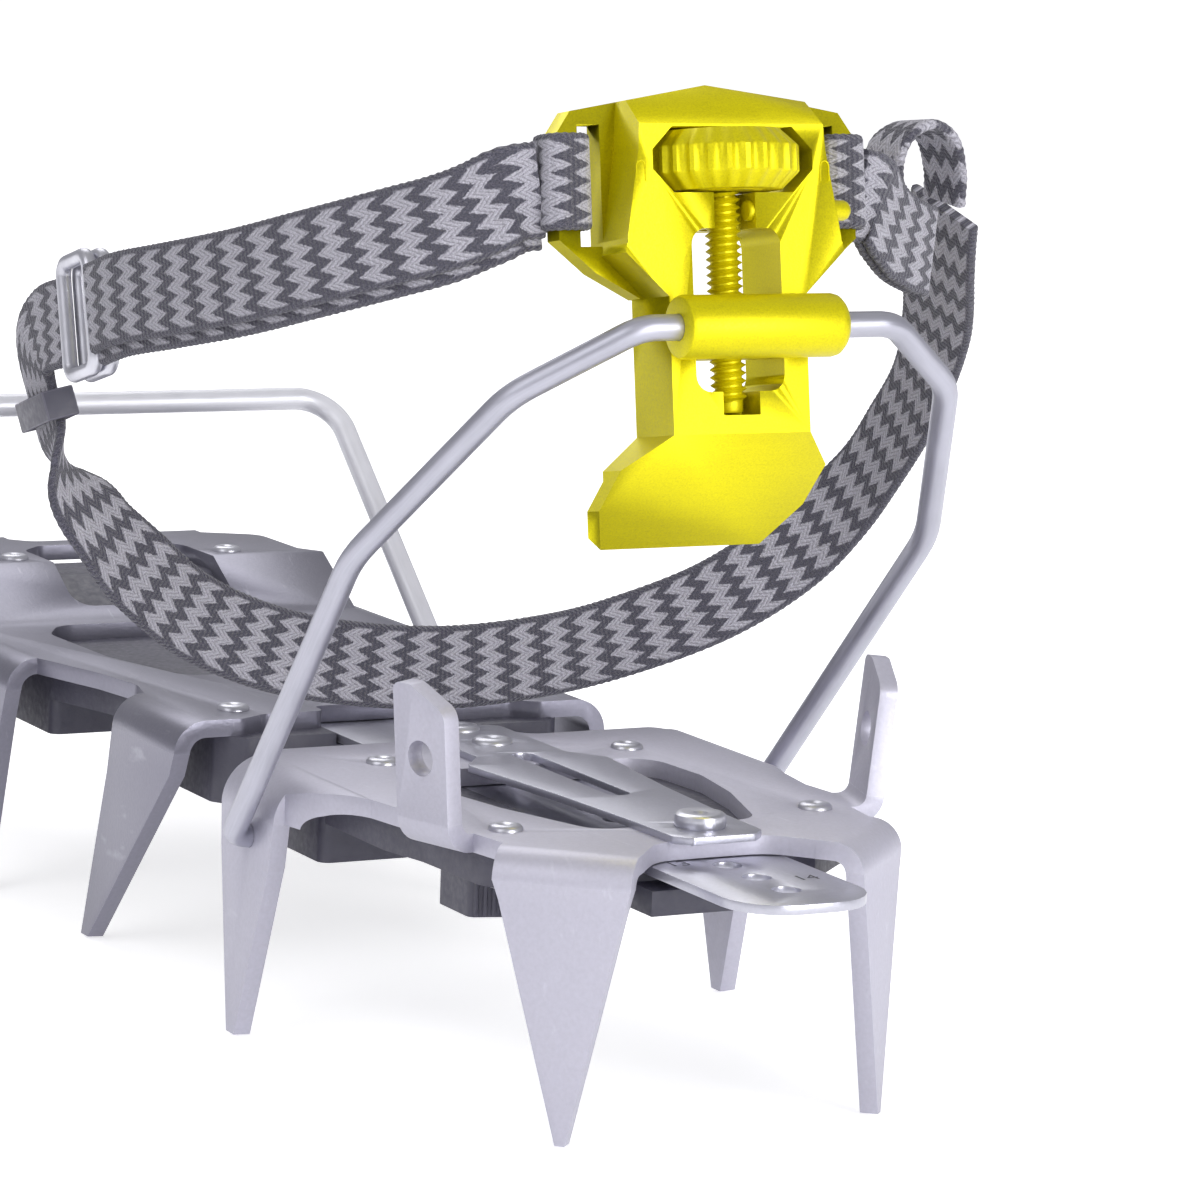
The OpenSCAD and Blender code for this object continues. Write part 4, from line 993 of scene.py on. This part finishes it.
@dataclass
class HeelLever:
    """Tilting heel lever on the wire: body, cross nut, adjusting screw, thumb wheel and screw pin."""

    shop: Workshop
    wire: tuple[float, float] = (-4.4292, 126.1302)
    slid: float = -1.8
    tilt: float = 9.0
    screw_off: float = 10.0
    barrel: float = 9.7
    barrel_half: float = 13.9
    wheel: float = 24.0
    wheel_low: float = 20.9
    wheel_thickness: float = 9.4
    pitch: float = 1.2
    screw: float = 5.6
    thread_depth: float = 0.68
    thread_low: float = -12.0
    thread_turns: int = 27
    bore: float = 4.12
    block_half: float = 7.4
    block_depth: tuple[float, float] = (3.2, 14.6)
    block_rise: float = 4.6
    pin_at: tuple[float, float, float] = (0.0, 7.8, 17.9)
    pin_end: float = 21.1
    pin_radius: float = 1.6
    flutes: int = 26
    flute_depth: float = 0.62
    flute_share: float = 0.72
    flute_reach: float = 1.6
    at: Matrix = field(init=False)

    def __post_init__(self) -> None:
        """Works out the lever's own frame: X across, Y depth towards the toe, Z up the lever."""
        tilted = Matrix.Rotation(math.radians(-self.tilt), 4, "X")
        self.at = Matrix.Translation((self.slid, *self.wire)) @ tilted

    def build(self) -> None:
        """Builds every piece of the lever."""
        yellow = self.shop.finishes.yellow
        self.shop.softened("lever_body", yellow, Body.LEVER, "anodised_yellow", 0.4, 3, 20.0)
        self.marks()
        self.cross_nut()
        self.adjusting_screw()
        self.thumb_wheel()
        self.screw_pin()

    def screw_pin(self) -> None:
        """Builds the pin that is pressed in from the right and bears on the screw."""
        start, end, radius = self.screw / 2, self.pin_end, self.pin_radius
        draft = Draft()
        draft.lathe([(0.0, start), (radius - 0.2, start), (radius, start + 0.2), (radius, end - 1.1),
                     (radius - 0.25, end - 0.5), (radius - 0.75, end - 0.1), (0.4, end), (0.0, end)], 36)
        draft.move(self.at @ Matrix.Translation(self.pin_at) @ Matrix.Rotation(math.pi / 2, 4, "Y"))
        draft.finish("screw_pin_turned", self.shop.finishes.yellow, Body.LEVER, "anodised_yellow",
                     ("screw_pin",))

    def marks(self) -> None:
        """Builds the two small arched tool marks beside the window."""
        arch = ((-0.75, 22.3), (-0.75, 24.6), (-0.6, 25.15), (0.0, 25.45), (0.6, 25.15), (0.75, 24.6),
                (0.75, 22.3))
        middle_x, face_y = 16.0, 5.98
        deep = Vector((0.0, 1.0, 0.0))
        draft = Draft()
        for side in Side:
            line = [Vector((side.value * middle_x + x, face_y, z)) for x, z in arch]
            draft.sweep(line, [deep] * len(line), lambda step, travel: round_section(0.14, 8))
        draft.move(self.at)
        draft.finish("lever_tool_marks", self.shop.finishes.yellow, Body.LEVER, "anodised_yellow")

    def cross_nut(self) -> None:
        """Builds the barrel round the wire, with its threaded block."""
        yellow = self.shop.finishes.yellow
        rim, end, hole = self.barrel / 2, self.barrel_half, self.bore / 2
        draft = Draft()
        draft.lathe([(hole, -end), (hole + 0.2, -end), (rim - 0.75, -end), (rim - 0.25, -end + 0.2),
                     (rim, -end + 0.75), (rim, end - 1.6), (rim - 0.2, end - 0.8), (rim - 0.75, end - 0.2),
                     (rim - 1.5, end), (hole, end), (hole, -end)], 64)
        draft.move(Matrix.Rotation(math.pi / 2, 4, "Y"))
        draft.move(self.at)
        draft.finish("cross_nut_barrel", yellow, Body.NUT, "anodised_yellow", ("cross_nut",))
        half, (near, far) = self.block_half, self.block_depth
        block = Draft()
        corners = [(-half, near), (half, near), (half, far), (-half, far)]
        block.prism(corners, -self.block_rise, self.block_rise)
        block.soften(0.5, 3)
        block.move(self.at)
        block.finish("cross_nut_block", yellow, Body.NUT, "anodised_yellow")

    def adjusting_screw(self) -> None:
        """Builds the screw with a real thread, turned about the screw's axis."""
        major = self.screw / 2
        minor = major - self.thread_depth
        steps, turns = 28, self.thread_turns
        tooth = ((minor, 0.0), (minor, 0.14), (major - 0.06, 0.53), (major, 0.6), (major - 0.06, 0.67),
                 (minor, 1.06), (minor, self.pitch))
        draft = Draft()
        line = [draft.mesh.verts.new((reach, 0.0, self.thread_low + z)) for reach, z in tooth]
        edges = [draft.mesh.edges.new(pair) for pair in zip(line, line[1:])]
        bmesh.ops.spin(draft.mesh, geom=line + edges, cent=(0, 0, 0), axis=(0, 0, 1),
                       dvec=(0.0, 0.0, self.pitch / steps), angle=math.tau * turns, steps=steps * turns)
        draft.merge(0.02)
        bmesh.ops.holes_fill(draft.mesh, edges=draft.mesh.edges, sides=0)
        neck, top = 19.0, self.wheel_low + 8.4
        draft.lathe([(0.0, neck), (minor, neck), (minor, top), (0.0, top)], steps)
        draft.lathe([(0.0, -12.8), (1.9, -12.8), (minor, -12.4), (minor, -11.0), (0.0, -11.0)], steps)
        draft.move(self.at @ Matrix.Translation((0.0, self.screw_off, 0.0)))
        draft.finish("adjuster_screw_threaded", self.shop.finishes.yellow, Body.SCREW, "rivet",
                     ("adjuster_screw",), smooth=50.0)

    def thumb_wheel(self) -> None:
        """Builds the thumb wheel with scalloped flutes between two chamfers."""
        rim, top, chamfer = self.wheel / 2, self.wheel_thickness, 2.7
        draft = Draft()
        draft.lathe([(2.87, 0.0), (6.2, 0.0), (6.4, 0.15), (rim - chamfer, 0.15),
                     (rim - 0.25, chamfer - 0.25), (rim, chamfer + 0.1), (rim, top * 0.5),
                     (rim, top - chamfer - 0.1), (rim - 0.25, top - chamfer + 0.25),
                     (rim - chamfer, top - 0.15), (7.4, top - 0.15), (7.2, top), (5.2, top),
                     (4.9, top - 0.6), (0.0, top - 0.6)], self.flutes * 8)
        for v in draft.mesh.verts:
            reach = math.hypot(v.co.x, v.co.y)
            left = (reach - self.flute(v.co.x, v.co.y)) / max(reach, 1e-6)
            v.co.x *= left
            v.co.y *= left
        draft.move(self.at @ Matrix.Translation((0.0, self.screw_off, self.wheel_low)))
        draft.finish("thumb_wheel_fluted", self.shop.finishes.yellow, Body.SCREW, "anodised_yellow",
                     ("thumb_wheel",), smooth=28.0)

    def flute(self, x: float, y: float) -> float:
        """Gives how deep the wheel's scallops cut at a point.

        Args:
            x: The point's X from the wheel's axis.
            y: Its Y.

        Returns:
            The depth, none between two scallops and none well inside the rim.
        """
        turn = math.atan2(y, x) * self.flutes / math.tau % 1.0
        if turn >= self.flute_share:
            return 0.0
        depth = max(0.0, (math.hypot(x, y) - self.wheel / 2 + self.flute_reach) / self.flute_reach)
        return self.flute_depth * depth * math.sin(math.pi * min(1.0, turn / self.flute_share)) ** 0.7


@dataclass
class AnkleStrap:
    """Ankle webbing sewn to both strap bars of the lever, with its fold, buckle and keeper."""

    shop: Workshop
    lever: Matrix
    width: float = 15.0
    thickness: float = 1.7
    ply_gap: float = 0.12
    bar_in: float = 22.4
    lever_half: float = 26.0
    lever_far: float = 18.0
    bar_depth: float = 4.0
    middle: float = 22.8
    stagger: float = 2.0
    clearance: float = 0.3
    fold_width: float = 9.0
    edge_in: float = 0.3
    knot_length: float = 1.35
    weft_length: float = 1.1
    left: tuple[tuple[float, float, float], ...] = (
        (-29.6, 15.9, 145.1), (-33.6, 16.8, 144.4), (-37, 18.6, 142.4), (-42.4, 21.5, 139.7),
        (-48.4, 27.5, 137), (-56.9, 39, 132.7), (-63, 51, 128.9), (-68.2, 66, 125.4), (-71.1, 78, 122.9),
        (-71.5, 88, 120.2))
    right: tuple[tuple[float, float, float], ...] = (
        (26.0, 16.0, 144.2), (29.8, 16.8, 143.4), (33, 18.6, 140.4), (37.3, 21.4, 137.4), (42.3, 24.5, 135.4),
        (47, 28, 134.2))
    fold: tuple[tuple[float, float, float], ...] = (
        (41.3, 31.6, 142.2), (40.5, 31.2, 147.8), (42.2, 31, 152.1), (46.9, 31.8, 154.1), (51.7, 33.2, 151.9),
        (54.9, 35.5, 146.6), (56, 37, 141.6))
    ankle: tuple[tuple[float, float, float], ...] = (
        (57, 38.4, 140.3), (61, 45.2, 130.5), (67.2, 55.7, 118.7), (70.8, 66, 107.2), (71.4, 75, 97.6),
        (69.8, 84, 87), (63, 93.5, 74.8), (52.2, 101, 65.4), (36.5, 106.5, 58.8), (20.9, 107.5, 55.8),
        (2.9, 108.5, 54.6), (-13.9, 110.5, 55.8), (-28.9, 111, 59), (-43.4, 110, 65.3), (-54.7, 107.5, 74),
        (-62.2, 107, 82), (-67, 111, 91), (-68.7, 115.5, 100.5), (-70.8, 116, 109.5), (-71.5, 110.6, 114.2),
        (-71.5, 101.9, 116.5))
    fold_hint: tuple[float, float, float] = (0.25, -0.95, 0.1)
    ankle_hint: tuple[float, float, float] = (-0.15, 0.99, 0.0)
    ring_wire: float = 2.5
    ring_gap: float = 0.3

    def build(self) -> None:
        """Builds every stretch of webbing and the buckle."""
        self.bar_loop(Side.LEFT, "strap_bar_left")
        self.bar_loop(Side.RIGHT, "strap_bar_right")
        self.doubled(self.left, "strap_left")
        self.doubled(self.right, "strap_right")
        draft = Draft()
        hints = [Vector(self.fold_hint)] * len(self.fold)
        self.band(draft, self.fold, self.fold_width, self.thickness, hints, 0.0)
        self.dress(draft, "strap_fold")
        draft = Draft()
        self.band(draft, self.ankle, self.width, self.thickness, self.ankle_hints(), 0.0)
        self.dress(draft, "strap_ankle")
        self.buckle()
        self.keeper()

    def ankle_hints(self) -> list[Vector]:
        """Gives the way that the ankle webbing's width points: along the foot at its sides, upright in front.

        Returns:
            A way for each point of the route.
        """
        turning = ((-0.1, 0.75, 0.4), (-0.1, 0.5, 0.7), (0, 0.25, 0.9))
        start = [Vector(self.ankle_hint)] * 3 + [Vector(v) for v in turning]
        end = [Vector(v) for v in ((0, 0.3, 0.7), (0, 0.6, 0.6), (0, 0.9, 0.3), (0, 1, 0.2), (0, 0.6, 0.8),
                                   (0, 0.26, 0.97))]
        return start + [UP] * (len(self.ankle) - len(start) - len(end)) + end

    def dress(self, draft: Draft, node: str) -> None:
        """Finishes a stretch of webbing that stands for a CAD node."""
        webbing = self.shop.finishes.webbing
        draft.finish(node + "_webbing", webbing, Body.LEVER, "webbing", (node,), smooth=60.0)

    def band(self, draft: Draft, points: Sequence[Sequence[float]], width: float, thickness: float,
             hints: Sequence[Vector], shift: float) -> None:
        """Adds one ply of webbing along a route.

        Args:
            draft: The mesh that it goes into.
            points: The route's points.
            width: Width of the webbing.
            thickness: Its thickness.
            hints: The way its width points, at each point.
            shift: How far the ply lies off the route, along its thickness.
        """
        steps = 24
        route = smooth_route(points, steps)
        last = len(route) - 1
        ways = [(route[min(i + 1, last)] - route[max(i - 1, 0)]).normalized() for i in range(last + 1)]
        turned = smooth_route(hints, steps)
        sides = [(hint - way * hint.dot(way)).normalized() for hint, way in zip(turned, ways)]
        line = [p + way.cross(side) * shift for p, way, side in zip(route, ways, sides)]

        def ring(step: int, travel: float) -> list[tuple[float, float]]:
            """Gives the ply's section, with its edges knotted by the weft."""
            knot = 0.16 * math.sin(travel * math.tau / self.knot_length)
            thin = thickness * (1.0 + 0.035 * math.sin(travel * math.tau / self.weft_length))
            return slab_section(width - self.edge_in + knot, thin)

        draft.sweep(line, sides, ring)

    def doubled(self, points: Sequence[Sequence[float]], node: str) -> None:
        """Builds a stretch of two plies laid on each other and sewn.

        Args:
            points: The route's points.
            node: The CAD node that it stands for.
        """
        draft = Draft()
        ply = self.thickness - self.ply_gap / 2
        stagger = self.stagger if node == "strap_left" else 0.0
        for shift, drop in ((-1.0, 0.0), (1.0, stagger)):
            lowered = [(x, y, z - drop) for x, y, z in points]
            self.band(draft, lowered, self.width, ply, [UP] * len(points), shift * self.thickness / 2)
        self.dress(draft, node)

    def bar_loop(self, side: Side, node: str) -> None:
        """Builds the webbing that is wrapped round one strap bar of the lever.

        Args:
            side: The side of the lever.
            node: The CAD node that it stands for.
        """
        off = self.clearance + self.thickness / 2
        inner, outer = self.bar_in - off, self.lever_half + off
        near, far = self.lever_far - self.bar_depth - off, self.lever_far + off
        middle = (near + far) / 2
        corners = [(outer, middle), (outer, near), (inner, near), (inner, far), (outer, far), (outer, middle)]
        line = bent_line(corners, [0, 2.0, 1.6, 1.6, 2.0, 0], 12.0)
        line = [p for i, p in enumerate(line) if i == 0 or (p - line[i - 1]).length > 1e-4]
        dense = []
        for p, q in zip(line, line[1:]):
            count = max(1, int((q - p).length / 0.35))
            dense.extend(p.lerp(q, k / count) for k in range(count))

        def ring(step: int, travel: float) -> list[tuple[float, float]]:
            """Gives the webbing's section, with its edges knotted by the weft."""
            knot = 0.14 * math.sin(travel * math.tau / self.knot_length)
            return slab_section(self.width - self.edge_in + knot, self.thickness)

        draft = Draft()
        draft.sweep(dense, [UP] * len(dense), ring, closed=True)
        draft.move(Matrix.Diagonal((side.value, 1.0, 1.0, 1.0)))
        draft.move(self.lever @ Matrix.Translation((0.0, 0.0, self.middle)))
        self.dress(draft, node)

    def buckle(self) -> None:
        """Builds the two wire rings that the webbing's tail is threaded through."""
        start, end = Vector(self.left[-1]), Vector(self.ankle[-1])
        middle = (start + end) / 2
        length = self.width + self.ring_wire + 1.0
        width = (end - start).length - self.ring_wire - 2 * self.ring_gap
        slope = math.atan2(end.z - start.z, end.y - start.y)
        side, end_y, bend = width / 2, length / 2, 2.2
        corners = [(0.0, -end_y), (-side, -end_y), (-side, end_y), (side, end_y), (side, -end_y),
                   (0.0, -end_y)]
        line = bent_line(corners, [0, bend, bend, bend, bend, 0], 9.0)[:-1]
        section = round_section(self.ring_wire / 2, 18)
        upright = Matrix(((0, 0, 1, 0), (1, 0, 0, 0), (0, 1, 0, 0), (0, 0, 0, 1)))
        tilted = Matrix.Rotation(slope, 4, "X") @ upright
        draft = Draft()
        for k in range(2):
            ring = Draft()
            ring.sweep(line, [UP] * len(line), lambda step, travel: section, closed=True)
            beside = Vector((k * (self.ring_wire + self.ring_gap), 0, 0))
            ring.move(Matrix.Translation(middle + beside) @ tilted)
            scratch = bpy.data.meshes.new("ring")
            ring.mesh.to_mesh(scratch)
            ring.mesh.free()
            draft.take(scratch)
            bpy.data.meshes.remove(scratch)
        draft.finish("strap_buckle_rings", self.shop.finishes.turned, Body.LEVER, "rivet", ("strap_buckle",))

    def keeper(self) -> None:
        """Builds the moulded keeper that holds the webbing's tail."""
        draft = copy_of(self.shop.nodes["strap_keeper"])
        draft.soften(0.3 * MM, 3)
        draft.finish("strap_keeper_moulded", self.shop.finishes.plastic, Body.LEVER, "keeper",
                     ("strap_keeper",), placed=True, outwards=False)


@dataclass
class FrontUnit:
    """Front frame with its points, its snow plate and its rivets."""

    shop: Workshop
    ride: float = 45.0
    rise: float = 9.0
    block_low: float = 30.0
    snow_low: float = 36.6
    rear_rivet: tuple[float, float] = (27.0, 130.0)
    toe_rivet: tuple[float, float] = (22.7, 247.6)

    def build(self) -> None:
        """Builds every piece of the front unit."""
        finishes = self.shop.finishes
        self.shop.softened("front_frame", finishes.front_steel_painted_dark, Body.FRONT, "front_frame", 0.45, 3)
        self.shop.softened("front_snow_plate", finishes.plastic, Body.FRONT, "snow_plate", 0.5)
        draft = Draft()
        for side in Side:
            for (x, y), rise, low in ((self.rear_rivet, 0.0, self.block_low),
                                      (self.toe_rivet, self.rise, self.snow_low + self.rise)):
                domed_rivet(draft, side.value * x, y, self.ride + rise, low, RIVET_HEAD)
        draft.finish("front_rivets_domed", finishes.turned, Body.FRONT, "rivet", ("front_rivets",))


# The studio


@dataclass
class Studio:
    """Pale floor, soft lamps and the photograph's viewpoint."""

    place: tuple[float, float, float] = (-0.3644, -0.7655, 0.1975)
    azimuth: float = 28.23
    down: float = 8.94
    roll: float = 2.14
    lens: float = 144.805
    sensor: float = 36.0
    floor_colour: Colour = (0.93, 0.93, 0.94)
    floor_size: float = 6.0
    floor_low: float = -0.0004
    glow: float = 0.62
    ambient: float = 0.5
    aim: tuple[float, float, float] = (0.0, 0.0, 0.06)

    def build(self) -> None:
        """Builds the whole studio."""
        self.camera()
        self.floor()
        self.world()
        self.lamp("key_lamp", (0.35, -1.5, 0.35), 0.8, 15.0)
        self.lamp("fill_lamp", (-1.2, -0.5, 0.9), 1.0, 5.0)
        self.lamp("back_lamp", (0.2, 1.2, 1.4), 1.1, 9.0)
        bpy.context.scene.view_settings.view_transform = "Standard"

    def camera(self) -> None:
        """Sets the camera by the azimuth, tilt and roll that were solved from the heel unit."""
        data = bpy.data.cameras.new("photo_camera")
        data.lens = self.lens
        data.sensor_width = self.sensor
        data.clip_start = 0.01
        data.clip_end = 50.0
        camera = bpy.data.objects.new("photo_camera", data)
        bpy.context.scene.collection.objects.link(camera)
        a, e, r = (math.radians(v) for v in (self.azimuth, self.down, self.roll))
        ahead = Vector((math.sin(a) * math.cos(e), math.cos(a) * math.cos(e), -math.sin(e)))
        level = Vector((math.cos(a), -math.sin(a), 0.0))
        upright = level.cross(ahead)
        right = math.cos(r) * level + math.sin(r) * upright
        up = math.cos(r) * upright - math.sin(r) * level
        turned = Matrix((right, up, -ahead)).transposed().to_4x4()
        camera.matrix_world = Matrix.Translation(self.place) @ turned
        bpy.context.scene.camera = camera

    def floor(self) -> None:
        """Lays a wide pale floor just under the points."""
        mesh = bmesh.new()
        bmesh.ops.create_grid(mesh, x_segments=2, y_segments=2, size=self.floor_size)
        bmesh.ops.translate(mesh, verts=mesh.verts, vec=(0.0, 0.0, self.floor_low))
        data = bpy.data.meshes.new("studio_floor")
        mesh.to_mesh(data)
        mesh.free()
        floor = bpy.data.objects.new("studio_floor", data)
        bpy.context.scene.collection.objects.link(floor)
        graph = Graph("studio_paper")
        graph.dress(Base_Color=self.floor_colour, Roughness=0.9, Specular_IOR_Level=0.1)
        path = graph.tree.nodes.new("ShaderNodeLightPath")
        seen = graph.math("MAXIMUM", path.outputs["Is Camera Ray"], path.outputs["Is Glossy Ray"])
        seen = graph.math("MAXIMUM", seen, path.outputs["Is Transmission Ray"])
        paper = graph.shader.outputs[0]
        glow = graph.node("Emission", Color=(1.0, 1.0, 1.0), Strength=self.glow)
        lit = graph.node("AddShader", i0=paper, i1=glow)
        graph.put(graph.output.inputs[0], graph.node("MixShader", i0=seen, i1=paper, i2=lit))
        data.materials.append(graph.material)

    def world(self) -> None:
        """Makes a white world for the eye, with a soft graded sky that lights the metal."""
        world = bpy.data.worlds.new("studio_world")
        bpy.context.scene.world = world
        world.use_nodes = True
        tree = world.node_tree
        tree.nodes.clear()
        output = tree.nodes.new("ShaderNodeOutputWorld")
        place = tree.nodes.new("ShaderNodeTexCoord")
        split = tree.nodes.new("ShaderNodeSeparateXYZ")
        tree.links.new(place.outputs["Generated"], split.inputs[0])
        grade = tree.nodes.new("ShaderNodeValToRGB")
        grade.color_ramp.elements[0].position = 0.0
        grade.color_ramp.elements[0].color = (0.8, 0.8, 0.86, 1.0)
        grade.color_ramp.elements[1].position = 1.0
        grade.color_ramp.elements[1].color = (1.0, 1.0, 1.0, 1.0)
        tree.links.new(split.outputs[2], grade.inputs[0])
        sky = tree.nodes.new("ShaderNodeBackground")
        tree.links.new(grade.outputs[0], sky.inputs["Color"])
        sky.inputs["Strength"].default_value = self.ambient
        plain = tree.nodes.new("ShaderNodeBackground")
        plain.inputs["Color"].default_value = (1.0, 1.0, 1.0, 1.0)
        path = tree.nodes.new("ShaderNodeLightPath")
        mix = tree.nodes.new("ShaderNodeMixShader")
        tree.links.new(path.outputs["Is Camera Ray"], mix.inputs[0])
        tree.links.new(sky.outputs[0], mix.inputs[1])
        tree.links.new(plain.outputs[0], mix.inputs[2])
        tree.links.new(mix.outputs[0], output.inputs[0])

    def lamp(self, name: str, at: tuple[float, float, float], size: float, power: float) -> None:
        """Hangs a square soft lamp that looks at the crampon.

        Args:
            name: The lamp's name.
            at: Its place.
            size: Length of its side.
            power: Its power in watts.
        """
        data = bpy.data.lights.new(name, "AREA")
        data.size = size
        data.energy = power
        lamp = bpy.data.objects.new(name, data)
        bpy.context.scene.collection.objects.link(lamp)
        lamp.location = at
        lamp.rotation_euler = (Vector(self.aim) - Vector(at)).to_track_quat("-Z", "Y").to_euler()


def main() -> None:
    """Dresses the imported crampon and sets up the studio."""
    logging.basicConfig(level=logging.INFO, format="%(asctime)s %(message)s")
    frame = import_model()
    Studio().build()
    shop = Workshop(frame["nodes"], Finishes())
    lever = HeelLever(shop)
    assemblies = (
        HeelUnit(shop),
        LinkBar(shop),
        WireBail(shop, "heel_bail", Body.HEEL_BAIL, (79.2, 33.9), 132.2, 4.0,
                 ((40.5, 0.0), (49.2, 0.0), (51.8, 72.21), (38.4, 109.56), (21.9, 124.5)), (0, 3, 20, 14, 7),
                 shop.finishes.wire),
        lever,
        AnkleStrap(shop, lever.at),
        FrontUnit(shop),
        WireBail(shop, "toe_bail", Body.TOE_BAIL, (203.0, 35.0), 46.2, 4.5,
                 ((42.0, 0.0), (50.4, 0.0), (46.0, 67.9)), (0, 3.2, 9), shop.finishes.toe_wire_painted_light),
    )
    for assembly in assemblies:
        assembly.build()
        LOG.info("built %s", type(assembly).__name__)


if __name__ == "__main__":
    main()
